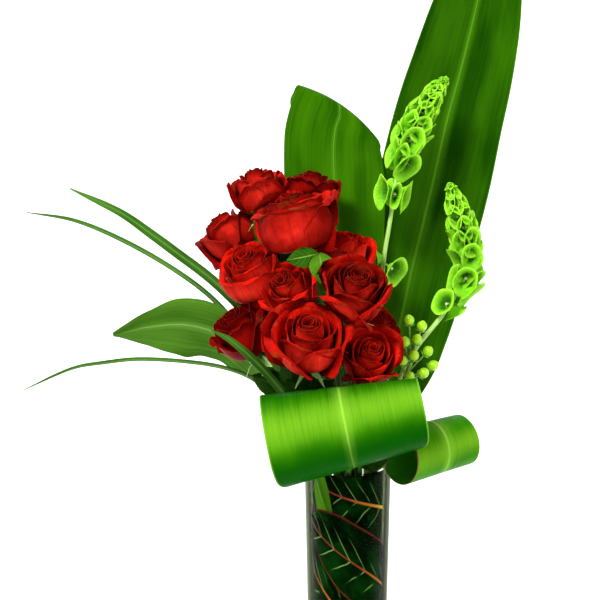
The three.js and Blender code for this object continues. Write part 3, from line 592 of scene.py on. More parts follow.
def croton_finish():
    """A near-black leaf with a rib that goes from red to gold, and pale veins that leave it towards the
    tip."""
    f = Finish("croton", Specular_IOR_Level=0)
    s, t, _ = f.parts("flow")
    along, across, tint = f.parts("place")
    where = f.vector(along, across, tint * 67)
    clouds = f.noise(where, 0.045, 3)
    wander = f.noise(where, 0.05, 1)
    reach = abs(across)
    branch = f.math("FRACT", (along + (reach * 0.8 + wander * 6)) / VEIN_PITCH)
    slim = reach.rise(0, 28, 0.72, 0.45)
    vein = (abs(branch - 0.5) * VEIN_PITCH / slim).rise(0.4, 1.1, 1, 0)
    broken = f.noise(where, 0.07, 1).rise(0.34, 0.5)
    vein = vein * (broken * reach.rise(12, 24, 1, 0))
    f.colour = f.mix(clouds.rise(0.45, 0.72), (0.0005, 0.005, 0.0004), (0.001, 0.022, 0.001))
    f.paint(vein * 0.85, f.mix(wander, (0.04, 0.16, 0.015), (0.24, 0.36, 0.1)))
    red, orange, gold = CROTON_RIB
    rib = f.mix(s.rise(0.56, 0.74), f.mix(s.rise(0.38, 0.58), red, orange), gold)
    near = reach / s.rise(0.1, 0.9, 0.8, 1.9)
    f.paint(near.rise(0.55, 1.1, 1, 0), rib)
    f.paint(abs(t).rise(0.93, 0.98, 0, 0.8), (0.12, 0.012, 0.01))
    f.relief(f.larger(vein, near.rise(0.4, 1.3, 1, 0)), 0.4)
    return f.done(clouds.rise(0.3, 0.7, 0.3, 0.42))


def clear_finish(name, clear, edge, ior):
    """Glass or water, with the faintest ripple in it, darker where it is seen edge on."""
    f = Finish(name, Transmission_Weight=1, IOR=ior, Roughness=0, Specular_Tint=(0.1, 0.1, 0.1, 1))
    slant = f.node("LayerWeight", "Facing", {"Blend": 0.5})
    f.colour = f.mix(slant.rise(0.43, 0.57), clear, edge)
    f.relief(f.noise(f.node("TexCoord", "Object"), 30, 1), 0.03)
    return f.done()


# Camera, light and floor.

CAMERA_AT = (-0.044, -1.2873, 0.5683)
CAMERA_DIP = 8
CAMERA_LENS = 86
SENSOR = 36
# Each lamp: where it stands, what it points at, its size and its watts.
LAMPS = {
    "key": ((-1.1, -1.6, 2.2), (0, 0, 0.4), 0.8, 115),
    "fill": ((1.9, -1.6, 0.9), (0, 0, 0.4), 1.2, 22),
    "back_left": ((-1.6, 0.6, 1.8), (0, 0.3, 0.4), 1, 22),
    "backdrop": ((0, 0.9, 2.6), (0, 3.2, 0.6), 1.8, 70),
}
SKY_LIGHT = 0.5
# How far the floor reaches each way, where it starts to curve up, the curve's radius and how far
# below the vase it lies, in metres.
STAGE_REACH = 6
CURVE_FROM = 2
CURVE_RADIUS = 1.5
FLOOR_DROP = 0.0004


def camera():
    data = bpy.data.cameras.new("camera")
    data.sensor_width = SENSOR
    data.lens = CAMERA_LENS
    data.clip_end = 20
    made = put("camera", data, CAMERA_AT)
    made.rotation_euler = (math.radians(90 - CAMERA_DIP), 0, 0)
    bpy.context.scene.camera = made


def lamp(name, spot, aim, size, watts):
    data = bpy.data.lights.new(name, "AREA")
    data.shape = "DISK"
    data.size = size
    data.energy = watts
    turn = (Vector(aim) - Vector(spot)).to_track_quat("-Z", "Y")
    put(name, data, spot).rotation_euler = turn.to_euler()


def stage():
    """A pale floor that curves up into a backdrop far behind, under plain soft light."""
    bend = np.radians(np.arange(0, 91, 7.5))
    curve = zip(CURVE_FROM + CURVE_RADIUS * np.sin(bend), CURVE_RADIUS - CURVE_RADIUS * np.cos(bend))
    outline = [(-STAGE_REACH, 0), *curve, (CURVE_FROM + CURVE_RADIUS, STAGE_REACH)]
    points = [(x, y, z - FLOOR_DROP) for y, z in outline for x in (-STAGE_REACH, STAGE_REACH)]
    mesh = bpy.data.meshes.new("floor")
    mesh.from_pydata(points, [], [(i, i + 1, i + 3, i + 2) for i in range(0, len(points) - 2, 2)])
    mesh.polygons.foreach_set("use_smooth", [True] * len(mesh.polygons))
    f = Finish("floor", Specular_IOR_Level=0.2)
    f.colour = f.mix(f.noise(f.node("TexCoord", "Object"), 18), (0.93, 0.93, 0.93), (0.95, 0.95, 0.95))
    mesh.materials.append(f.done(0.7))
    put("floor", mesh)
    world = bpy.data.worlds.new("world")
    world.use_nodes = True
    sky = world.node_tree.nodes["Background"]
    sky.inputs["Color"].default_value = (1, 1, 1, 1)
    sky.inputs["Strength"].default_value = SKY_LIGHT
    bpy.context.scene.world = world
    for name, numbers in LAMPS.items():
        lamp(name, *numbers)
    bpy.context.scene.view_settings.view_transform = "Standard"


camera()
stage()


# Stems in their slots, and leaves on stalks.

STALK = stem_finish("stalk", (0.02, 0.085, 0.006), (0.07, 0.19, 0.02))


def foot(ring, place):
    """The lower and upper end of a stem's straight foot in its slot."""
    radius, slots = RINGS[ring]
    angle = math.radians(-90 + 360 / slots * place)
    return ray(angle, radius, 0, np.array([STEM_FOOT, STEM_MOUTH]))


def stalked(name, finish, material, stem, middle, thickness, s, t, length, half, tint):
    """A leaf on its stalk, which goes up from its slot to the root of the blade and into the rib.
    `stem` is the slot, the stalk's radius and the row of the blade halfway to which it goes."""
    slot, radius, row = stem
    build = Build()
    sheet(build, middle, thickness, s, t, length, half, tint)
    low, high = foot(*slot)
    root, rib = middle[[0, row], middle.shape[1] // 2]
    bend = Line([high, root, (root + rib) / 2]).at(np.linspace(0, 1, 16))
    line = np.vstack([low, (low + high) / 2, bend])
    taper = np.linspace(radius, 0.25 * radius, 6)
    radii = np.append(np.full(len(line) - len(taper), radius), taper)
    tube(build, line, radii, slot=1)
    dress(build, name, "veined", finish, [material, STALK])


# The vase and its water.


def inner_radius(z):
    return lerp(BASE_RADIUS, RIM_RADIUS, z / VASE_HEIGHT) - WALL


def clear(name, finish, profile, sides, material):
    """A turned solid of glass or water."""
    build = Build()
    turned(build, profile, sides)
    dress(build, name, "clear", finish, [material])


def vase():
    outer = [[inner_radius(h) + WALL, h] for h in np.linspace(2.5, VASE_HEIGHT - 2, 12)]
    inner = [[inner_radius(h), h] for h in np.linspace(VASE_HEIGHT - 2, FLOOR + 6, 12)]
    lip = [[RIM_RADIUS + WALL / 2 * (math.cos(a) - 1), VASE_HEIGHT + WALL / 2 * (math.sin(a) - 1)]
           for a in np.radians(np.linspace(15, 165, 7))]
    bottom = [[0, 0], [BASE_RADIUS - 2.5, 0], [BASE_RADIUS - 0.8, 0.7]]
    well = [[inner_radius(FLOOR) - 1.5, FLOOR + 1.5], [inner_radius(FLOOR) - 6, FLOOR], [0, FLOOR]]
    material = clear_finish("vase_glass", (0.95, 0.98, 0.96), (0.005, 0.011, 0.0005), 1.09)
    clear("glass_vase", "glass", [*bottom, *outer, *lip, *inner, *well], 128, material)


def water():
    top = inner_radius(WATER_LEVEL) - WATER_INSET
    low = inner_radius(FLOOR) - WATER_INSET
    bottom = [[0, FLOOR + 0.4], [low - 1, FLOOR + 0.4], [low, FLOOR + 1.4]]
    # The surface climbs a little at its edge.
    surface = [[top - 0.4, WATER_LEVEL - 1.2], [top, WATER_LEVEL], [top - 1.2, WATER_LEVEL - 0.7],
               [0, WATER_LEVEL - 0.9]]
    material = clear_finish("vase_water", (0.9, 0.95, 0.92), (0.5, 0.62, 0.55), 1.15)
    clear("water", "water", [*bottom, *surface], 96, material)


# Leaves pressed round the inside of the glass.

LINER_THICKNESS = 0.8
LINER_PITCH = 1.15
LINER_TOP = VASE_HEIGHT - 3.5
LINER_FOOT = FLOOR + 2
LINER_OUTLINE = [[0, 0.06], [0.12, 0.6], [0.3, 0.94], [0.5, 1], [0.72, 1.03], [0.9, 0.8], [1, 0.1]]
# Each leaf: the compass direction and height of its root and of its tip, its half width, and its
# layer, counted from the glass.
LINER_LEAVES = {
    "croton_leaf_1": ([-205, 232], [50, 184], 34, 4),
    "croton_leaf_2": ([-166, 187], [62, 88], 39, 2),
    "croton_leaf_3": ([-262, 196], [-10, 50], 42, 3),
    "croton_leaf_4": ([-215, 84], [45, 44], 36, 1),
    "lining_leaf": ([-112, 174], [-156, 238], 30, 3),
}


def liner_leaf(name, tint, material, root, tip, half, layer):
    s, t = stations(121, 17)
    angle = np.radians(lerp(root[0], tip[0], s))
    level = lerp(root[1], tip[1], s)
    z = np.clip(level + t * half * graph(LINER_OUTLINE, s), LINER_FOOT, LINER_TOP)
    r = inner_radius(z) - LINER_PITCH * (layer - 0.4)
    middle = xyz(r * np.cos(angle), r * np.sin(angle), z + 0.02 * t)
    length = math.radians(abs(tip[0] - root[0])) * inner_radius(100)
    build = Build()
    sheet(build, middle, LINER_THICKNESS, s, t, length, half, tint, across=z - level)
    dress(build, name, "veined", "croton" if "croton" in name else "leaf", [material])


# Broad leaves.

LEAF_THICKNESS = 0.8

# The line along the middle, the direction across it at the root and at the tip, the half width, how
# far the sides fold up or down, and the stem. A leaf may wave, be broader on its low side and be
# ragged.
TALL_RIGHT_LEAF = {
    "spine": [[10, 26, 240], [36, 56, 290], [51, 80, 348], [66, 94, 412], [83, 101, 483], [97, 103, 546],
              [111, 103, 600], [125, 102, 661], [134, 99, 712], [141, 95, 756.8]],
    "side": [[0.97, 0.1, -0.23], [0.97, 0.1, -0.23]],
    "half": [[0, 3], [0.1, 27.5], [0.2, 45], [0.34, 53], [0.5, 54.5], [0.64, 52.4], [0.76, 47], [0.86, 37.6],
             [0.94, 23], [1, 2]],
    "fold": -0.16,
    "stem": (("outer", 6), 3, 12),
}
LOW_LEFT_LEAF = {
    "spine": [[-24, 7, 240], [-44, 9, 265], [-62, 13, 292], [-86, 18, 327], [-113, 20, 350],
              [-146, 20, 361], [-182, 18, 360], [-216, 14, 353]],
    "side": [[-0.45, -0.3, 1], [0, -0.3, 1]],
    "half": [[0, 3], [0.12, 12], [0.3, 22], [0.5, 27], [0.68, 26], [0.85, 17], [0.95, 8], [1, 2]],
    "fold": 0.12,
    "wave": 2,
    "waves": 3,
    "low_side": [[0, 1], [0.4, 1.03], [0.55, 1.16], [0.75, 1.36], [0.9, 1.5], [1, 1]],
    "ragged": 0.022,
    "stem": (("outer", 10), 2.6, 7),
}


def broad_leaf(name, material, tint, rows, columns, spine, side, half, fold, stem, wave=0, waves=0,
               low_side=((0, 1), (1, 1)), ragged=0):
    line = Line(spine)
    s, t = stations(rows, columns)
    width = graph(half, s) * np.where(t < 0, graph(low_side, s), 1)
    width = width * (1 + ragged * (np.sin(23 * s + 3 * t) + 0.7 * np.sin(53 * s - 2 * t)))
    rise = fold * (np.sqrt(t * t + 0.004) - 0.03) * width
    rise = rise + wave * t * np.sin(2 * math.pi * waves * s) + 0.9 * t * t * np.sin(17 * s + 2.1 * t)
    middle = blade(line, s, t, lerp(*np.array(side, float), s[:, :, None]), width, rise)
    rib = 1.1 * np.exp(-((t * width / 2.2) ** 2)) * (1 - 0.8 * s)
    thick = LEAF_THICKNESS * (1 - 0.55 * t * t) + rib
    stalked(name, "leaf", material, stem, middle, thick, s, t, line.length, np.max(half, 0)[1], tint)


# The tall leaf on the left, laid out flat: middle x, height, half width, how steeply its rows
# slant, and depth. It then rolls back over a slanting line, so that its tip hangs behind it.
TALL_LEFT_LEAF = [
    [-2, 240, 3, 0, 24], [-3, 284, 24, 0, 40], [-5, 330, 37, 0, 54], [-7, 378, 42, 0, 65],
    [-9, 430, 45, 0, 74], [-11, 485, 48, -0.08, 81], [-12, 520, 47, -0.25, 85], [-10, 540, 43, -0.5, 87],
    [-6, 553, 39, -0.67, 88], [-6, 560, 37, -0.67, 88], [-7, 567, 34, -0.67, 88], [-7, 574, 30, -0.67, 88],
    [-8, 582, 25, -0.67, 88], [-9, 593, 16, -0.67, 88], [-10, 605, 3, -0.67, 88],
]
TALL_LEFT_STEPS = 9
TALL_LEFT_ARCH = 3
TALL_LEFT_WIDEST = 48
FOLD_ON = (-4, 562)
FOLD_ALONG = (0.83, -0.557)
FOLD_RADIUS = 6
FOLD_BOW = 0.0035


def tall_left_leaf(material):
    last = len(TALL_LEFT_LEAF) - 1
    place = np.linspace(0, last, TALL_LEFT_STEPS * last + 1)[:, None]
    t = np.linspace(-1, 1, 25)[None, :]
    columns = (graph(list(enumerate(column)), place) for column in zip(*TALL_LEFT_LEAF))
    centre, height, half, slant, depth = columns
    x = centre + half * t
    z = height + slant * half * t
    right, up = x - FOLD_ON[0], z - FOLD_ON[1]
    cos, sin = FOLD_ALONG
    beyond = up * cos - right * sin + FOLD_RADIUS + FOLD_BOW * (right * cos + up * sin) ** 2
    angle = np.clip(beyond / FOLD_RADIUS, 0, math.pi)
    hang = np.maximum(beyond - math.pi * FOLD_RADIUS, 0)
    climb = np.where(beyond > 0, FOLD_RADIUS * np.sin(angle) - hang - beyond, 0)
    y = depth + TALL_LEFT_ARCH * (1 - t * t) + FOLD_RADIUS * (1 - np.cos(angle))
    middle = xyz(x - climb * sin, y, z + climb * cos)
    length = height[-1, 0] - height[0, 0]
    stalked("tall_leaf_left", "leaf", material, (("outer", 7), 3, 9), middle,
            LEAF_THICKNESS * (1 - 0.5 * t * t), (height - height[0]) / length, t, length,
            TALL_LEFT_WIDEST, 0.37)


# Rolled leaves.

# The ends of the tube and its radius at each, the directions round it in which the leaf starts and
# ends, its radius and half width along the leaf, how far the leaf winds aslant, and the stem.
FRONT_ROLL = {
    "ends": [[-71, -73, 273], [63, -73, 300]],
    "radii": [41, 30],
    "arc": [212, -128],
    "wall": [[0, 0.95], [0.12, 1], [0.9, 1], [1, 0.9]],
    "half": [[0, 0.05], [0.1, 0.5], [0.2, 0.95], [0.26, 1], [0.66, 1], [0.74, 0.985], [0.8, 0.94],
             [0.88, 0.74], [1, 0.2]],
    "skew": 0,
    "stem": (("outer", 0), 2.6, 9),
}
SIDE_ROLL = {
    "ends": [[48, -57, 257], [103, -17, 262]],
    "radii": [24.5, 23],
    "arc": [175, -170],
    "wall": [[0, 1], [0.6, 1], [1, 0.86]],
    "half": [[0, 0.1], [0.12, 0.6], [0.22, 1], [0.9, 1], [1, 0.7]],
    "skew": 0.3,
    "stem": (("outer", 2), 2.6, 9),
}


def rolled_leaf(name, material, tint, ends, radii, arc, wall, half, skew, stem):
    near, far = np.array(ends, float)
    axis = unit(far - near)
    outward = unit(np.cross(axis, UP))
    axes = np.stack([axis, outward, unit(np.cross(outward, axis))])
    half_length = np.linalg.norm(far - near) / 2
    s, t = stations(160, 31)
    share = t * graph(half, s) - skew * s * (1 - t) / 2
    angle = np.radians(lerp(*arc, s))
    radius = lerp(*radii, (share + 1) / 2) * graph(wall, s) + 0.5 * t * t * np.sin(11 * s + t)
    local = xyz(share * half_length, radius * np.cos(angle), radius * np.sin(angle))
    middle = (near + far) / 2 + local @ axes
    length = math.radians(abs(arc[1] - arc[0])) * radii[0]
    thick = LEAF_THICKNESS * (1 - 0.4 * t * t)
    stalked(name, "rolled", material, stem, middle, thick, s, t, length, half_length, tint)


# Lily grass.

GRASS_THICKNESS = 0.8
GRASS_KEEL = 0.22
GRASS_WIDTH = [[0, 0.6], [0.3, 1.2], [0.7, 1.15], [0.9, 0.8], [1, 0.14]]
# Each clump: its slot, the top of its foot, and its blades. A blade has its half width, the
# direction across it and the points that it goes through.
CLUMPS = {
    "lily_grass_back": (("outer", 9), [-18, 14, 240], [
        (4, [0.5, 0.3, 0.8],
         [[-17, 14, 236], [-33, 22, 281], [-62, 32, 327], [-91, 37, 366], [-125, 40, 400],
          [-159, 42, 426], [-183, 42, 444], [-210, 42, 463], [-257, 40, 486]]),
        (2.4, [0.4, -0.5, 0.8],
         [[-18, 13, 236], [-44, 19, 278], [-72, 24, 319], [-100, 28, 356], [-123, 30, 382],
          [-150, 31, 404], [-201, 31, 435], [-251, 28, 457], [-294.9, 25, 465]]),
    ]),
    "lily_grass_front": (("outer", 12), [-19, -15, 240], [
        (2.2, [0.2, -0.6, 0.8],
         [[-18, -14, 236], [-30, -9, 262], [-53, -4, 288], [-72, -3, 305], [-90, -5, 317],
          [-106, -7, 324], [-131, -9, 330], [-189, -13, 335], [-222, -15, 332],
          [-247, -17, 328], [-294, -21, 308]]),
        (3.4, [0.6, 0.5, 0.6],
         [[-19, -15, 236], [-33, -22, 268], [-46, -30, 290], [-62, -40, 314], [-78, -50, 335],
          [-92, -57, 350], [-106, -61, 362], [-121, -63, 370]]),
    ]),
}


def grass(name, material, slot, crown, blades):
    build = Build()
    tube(build, [*foot(*slot), crown], np.array([1, 1, 0.8]) * STEM_RADIUS)
    for number, (half, side, points) in enumerate(blades):
        line = Line(points)
        s, t = stations(90, 7)
        width = half * graph(GRASS_WIDTH, s)
        middle = blade(line, s, t, np.array(side), width, GRASS_KEEL * width * np.abs(t))
        thick = GRASS_THICKNESS * (1 - 0.5 * t * t)
        sheet(build, middle, thick, s, t, line.length, half, 0.2 + 0.31 * number)
    dress(build, name, "blades", "grass", [material])


# Roses.

# How finely a rose is made: its tight and loose petals.
FULL = (10, 13)
PLAIN = (9, 10)
SPARSE = (8, 9)

# Each rose: the middle of its bloom, its lean and compass direction, radius, height, first
# petal's direction, how far it opens, its stem's slot and reach, its petals and how bright it is.
ROSES = [
    ([-82, 38, 484], 14, 175, 27, 45, 20, 1.1, ("inner", 4), 60, SPARSE, 0.38),
    ([-34, 54, 481], 8, 60, 27, 44, 200, 1.1, ("inner", 3), 60, SPARSE, 0.15),
    ([-48, -4, 459], 14, -165, 38, 57, 250, 1.3, ("centre", 0), 30, FULL, 0.44),
    ([-109, 46, 441], 40, 170, 31, 49, 80, 1.05, ("outer", 8), 50, SPARSE, 0.4),
    ([-87, 6, 412], 38, -125, 33, 51, 300, 1.05, ("inner", 5), 30, PLAIN, 0.75),
    ([-3, 24, 427], 16, -65, 28, 43, 120, 1.15, ("inner", 2), 50, SPARSE, 0.95),
    ([-53, -22, 398], 48, -125, 28, 44, 32, 1.1, ("inner", 6), 12, PLAIN, 0.75),
    ([4, -44, 400], 35, -82, 34, 52, 230, 1.2, ("inner", 0), 24, FULL, 0.36),
    ([-95, -21, 361], 36, -160, 32, 49, 150, 1.05, ("outer", 11), 34, PLAIN, 0),
    ([-36, -60, 359], 36, -93, 36, 55, 340, 1.25, ("outer", 13), 30, FULL, 0.6),
    ([18, -36, 341], 52, -82, 29, 45, 102, 1.08, ("outer", 1), 8, PLAIN, 1),
    ([24, 13, 361], 50, -35, 25, 40, 100, 1.05, ("inner", 1), 4, SPARSE, 0.6),
]
# The order in which blooms press on each other: an earlier one keeps its shape.
PRESS_ORDER = [10, 8, 11, 3, 5, 9, 7, 12, 6, 1, 2, 4]

# The gap between a bloom and its hip.
GAP = 0.4
# The solid core of a bloom and the radius of a petal's root, as shares of the bloom's size.
CORE = [[0, 0], [0.16, 0], [0.2, 0.1], [0.12, 0.3], [0.07, 0.6], [0, 0.66]]
ROOT_RADIUS = 0.08
# A petal's thickness at its root and at its rim.
PETAL_THICKNESS = (0.6, 0.24)
# How broad a petal is along its length.
PETAL_OUTLINE = [[0, 0.35], [0.2, 0.78], [0.5, 0.98], [0.78, 1], [1, 0.86]]
# How many degrees a petal spreads to each side: the first and last tight one, the first and last
# loose one, and a curled one.
TIGHT_SPREAD = (150, 78)
LOOSE_SPREAD = (70, 60)
CURLED_SPREAD = 46


class Rose:
    """One rose: where it stands, and the room that its bloom takes."""

    def __init__(self, number):
        middle, lean, toward, radius, height, *rest = ROSES[number - 1]
        self.number, self.radius, self.height = number, radius, height
        self.turn, self.open, self.slot, self.reach, self.petals, self.glow = rest
        tilt, compass = math.radians(lean), math.radians(toward)
        self.axis = ray(compass, math.sin(tilt), 0, math.cos(tilt))
        self.base = middle - self.axis * height / 2
        self.facing = turning_to(self.axis)
        lip = 0.88 * self.open
        around = [[0.74, 0.16], [0.88, 0.54], [lip, 0.63], [lip, 0.77]]
        around = [[r * radius + 1, z * height] for r, z in around]
        top = [[0.6 * lip * radius, height], [0, 1.04 * height]]
        self.room = np.array([[0.2 * radius, -GAP], *around, *top])

    def placed(self, points):
        return points @ self.facing.T + self.base

    def pushed(self, points):
        """Points moved sideways out of this bloom's room."""
        local = (points - self.base) @ self.facing
        r = np.linalg.norm(local[..., :2], axis=-1)
        wall = np.interp(local[..., 2], self.room[:, 1], self.room[:, 0], left=0, right=0)
        room = np.where(r < wall, wall / np.maximum(r, 0.5), 1)
        return self.placed(local * xyz(room, room, 1))


ALL_ROSES = {number: Rose(number) for number in range(1, len(ROSES) + 1)}


def tight_line(share, root):
    """An inner petal's line, which closes over the heart."""
    belly_highlight = lerp(0.13, 0.4, share)
    rim = lerp(0.99, 0.94, share)
    return [[ROOT_RADIUS * 0.6, root], [0.8 * belly_highlight, 0.45], [belly_highlight, 0.72], [0.86 * belly_highlight, rim - 0.05],
            [0.9 * belly_highlight, rim]]


def loose_line(share, root, opening):
    """An outer petal's line. The first ones cup the heart, and the last ones flare and turn over."""
    belly_highlight = lerp(0.46, 0.88, share)
    rim = lerp(0.95, 0.84, share)
    lip = lerp(0.93, opening, share**1.3)
    roll = lerp(0.01, 0.06, share)
    cup = [[ROOT_RADIUS, root], [0.52 * belly_highlight, root + 0.05], [0.82 * belly_highlight, root + 0.15],
           [0.97 * belly_highlight, 0.38], [belly_highlight, 0.52], [lerp(1, lip, 0.35) * belly_highlight, lerp(0.52, rim, 0.5)]]
    return [*cup, [lerp(1, lip, 0.9) * belly_highlight, rim], [lip * belly_highlight + 0.3 * roll, rim - 0.01],
            [lip * belly_highlight + 0.8 * roll, rim - roll]]


# A kind of petal: how it winds, how far its corners are cut back, its point, its side curl, its
# ruffle and how far its rim turns over.
TIGHT = np.array([0.12, 0.05, 0, 0, 0.005, 0.012])
CUPPED = np.array([0.07, 0.08, 0.012, 0.03, 0.009, 0.045])
TURNED = np.array([0.02, 0.28, 0.08, 0.17, 0.022, 0.11])
CURLED = np.array([0, 0.42, 0.1, 0.24, 0.02, 0.05])
UPRIGHT = np.array([0.03, 0.1, 0.02, 0.03, 0.01, 0.02])
# Compass directions in which a dark curled petal with a point stands off a bloom.
CURLED_PETALS = {1: [172], 2: [10], 3: [4], 4: [170], 10: [155], 11: [-150]}
# The side on which a bloom's outer petals stay upright: its compass direction, half its breadth and
# how far its petals stand out.
UPRIGHT_SIDES = {3: (-95, 50, 1.1), 5: (-100, 50, 1.07), 8: (32, 20, 0.9)}


def petal(build, rose, line, turn, spread, kind, draw, glow=1, room=1):
    """One petal. Its rim comes to a point, and its sides curl back towards the corners."""
    spiral, corner, tip, side_curl, ruffle, turn_over = kind
    s, t = stations(22, 23)
    s = s**0.85
    aside = t - draw.uniform(-0.22, 0.22)
    u = s * (1 - corner * aside**2 + tip * np.exp(-((aside / 0.2) ** 2)))
    found = Line([[room * r, 0, z] for r, z in line]).at(np.clip(u, 0, 1))
    phase = draw.uniform(0, 2 * math.pi, 3)
    wave = ruffle * s**4 * (np.sin(3.1 * t + phase[0]) + 0.6 * np.sin(6.7 * t + phase[1]))
    curl = side_curl * ease(0.5, 1, s) * ease(0.3, 1, np.abs(t)) * draw.uniform(0.6, 1.3)
    flip = turn_over * ease(0.72, 1, s) ** 2 * (1 + 0.55 * np.sin(2.3 * t + phase[2]))
    r = found[..., 0] * (1 + spiral * t) + wave + 0.7 * curl + flip
    z = found[..., 2] + 0.8 * np.maximum(u - 1, 0) - 0.06 * s * t * t
    z = z + 0.5 * wave * np.cos(2.2 * t + phase[2]) - 0.5 * curl - flip
    angle = np.radians(turn + spread * graph(PETAL_OUTLINE, s) * t)
    across = rose.radius * r
    points = rose.placed(xyz(across * np.cos(angle), across * np.sin(angle), rose.height * z))
    for other in PRESS_ORDER[: PRESS_ORDER.index(rose.number)]:
        points = ALL_ROSES[other].pushed(points)
    tint = np.clip(glow * rose.glow + draw.uniform(-0.18, 0.18), 0, 1)
    sheet(build, points, lerp(*PETAL_THICKNESS, s), s, t, rose.height, 0.7 * rose.radius, tint)


def upright(rose, turn):
    """How far a petal stands out if it is on the side of a bloom where they stay upright, or else 0."""
    compass, breadth, room = UPRIGHT_SIDES.get(rose.number, (0, 0, 0))
    return room if abs((turn - compass + 180) % 360 - 180) < breadth else 0


def bloom(rose, material):
    draw = np.random.default_rng(100 + rose.number)
    build = Build()
    tight, loose = rose.petals
    turned(build, np.array(CORE) * [rose.radius, rose.height], 16, rose.facing, rose.base, tint=0.4)
    for k in range(tight + loose):
        root = 0.02 + 0.2 * (1 - k / (tight + loose - 1))
        turn = rose.turn + GOLDEN_TURN * k + draw.uniform(-9, 9)
        if k < tight:
            share = k / (tight - 1)
            spread = lerp(*TIGHT_SPREAD, share**0.6)
            petal(build, rose, tight_line(share, root), turn, spread, TIGHT, draw)
        else:
            share = (k - tight) / (loose - 1)
            spread = lerp(*LOOSE_SPREAD, share) * draw.uniform(0.92, 1.06)
            opening, kind, room = rose.open * draw.uniform(0.95, 1.03), lerp(CUPPED, TURNED, share**1.3), 1
            if upright(rose, turn):
                opening, kind, spread, room = 0.97, UPRIGHT, 1.25 * spread, upright(rose, turn)
            petal(build, rose, loose_line(share, root, opening), turn, spread, kind, draw, room=room)
    for compass in CURLED_PETALS.get(rose.number, []):
        line = loose_line(0.92, 0.02, 1.03 * rose.open)
        petal(build, rose, line, compass, CURLED_SPREAD, CURLED, draw, 0.3)
    dress(build, f"rose_{rose.number:02d}_bloom", "petals", "petal", [material], 60)


# Leaves on the rose stems: where on the bent part of the stem they grow, the knot where their
# leaflets meet, and each leaflet's tip, half width and side.
ROSE_LEAVES = {
    3: (0.9, [-27, -31, 433], [([-56, -37, 427], 9.5, [0, 0.4, 1]), ([-22, -43, 407], 11, [1, 0, 0.2])]),
    5: (0.95, [-66, 27, 405], [([-84, 32, 466], 14, [1, -0.2, 0]), ([-58, 14, 440], 13, [1, -0.3, 0])]),
    7: (0.9, [-62, -6, 372], [([-84, -2, 396], 9, [0.6, 0.1, 0.8])]),
    8: (0.1, [12, -20, 237], [([-14, -27, 250], 8, [0.2, 0.1, 1]), ([40, -20, 251], 8, [0.2, 0.1, 1])]),
    9: (0.55, [-52, -20, 308], [([-88, -24, 322], 12, [0, 0.2, 1]), ([-52, -30, 340], 11, [1, -0.2, 0.2]),
                                ([-28, -26, 334], 11, [0.5, -0.2, 1])]),
    10: (0.7, [-37, -36, 300], [([-33, -47, 331], 10, [1, 0.2, 0]), ([-57, -40, 322], 10, [0.6, 0.1, 0.8]),
                                ([-13, -42, 322], 10, [0.6, 0.1, -0.8])]),
}
LEAFLET_OUTLINE = [[0, 0.1], [0.12, 0.6], [0.32, 0.97], [0.45, 1], [0.66, 0.82], [0.88, 0.34], [1, 0.04]]
LEAFLET_TEETH = 13
LEAFLET_THICKNESS = 0.6
# Tips of long pale sepals that show below a bloom.
LONG_SEPALS = {9: [[-70, -37, 333], [-90, -36, 337]], 10: [[-27, -69, 328], [-13, -60, 334]]}
LONG_SEPAL_HALF = 3.6
SEPALS = 5
SEPAL_REACH = 22
SEPAL_HALF = 2.6
SEPAL_THICKNESS = 0.6
SEPAL_OUTLINE = [[0, 2.3], [0.25, SEPAL_HALF], [0.6, 1.6], [1, 0.3]]
HIP_LENGTH = 9
# The hip's outline: how far along the bloom's axis from its base, and the radius there.
HIP = np.array([[-7.2, 3.2], [-5.2, 4.3], [-3.4, 4.9], [-1.6, 4.6], [-GAP, 3.6]])


def clear_of_blooms(points):
    for rose in ALL_ROSES.values():
        points = rose.pushed(points)
    return points


def leaflet(build, root, tip, half, side, tint, slot):
    line = Line([root, tip])
    s, t = stations(41, 13)
    teeth = 1 + 0.07 * (np.abs((s * LEAFLET_TEETH) % 1 - 0.7) - 0.35) * np.abs(t) ** 3
    width = half * graph(LEAFLET_OUTLINE, s) * teeth
    rise = 0.25 * half * np.sqrt(t * t + 0.01) - 0.1 * line.length * s * s + 0.3 * np.sin(19 * s) * t * t
    middle = clear_of_blooms(blade(line, s, t, np.array(side), width, rise))
    sheet(build, middle, LEAFLET_THICKNESS - 0.25 * t * t, s, t, line.length, half, tint, slot)


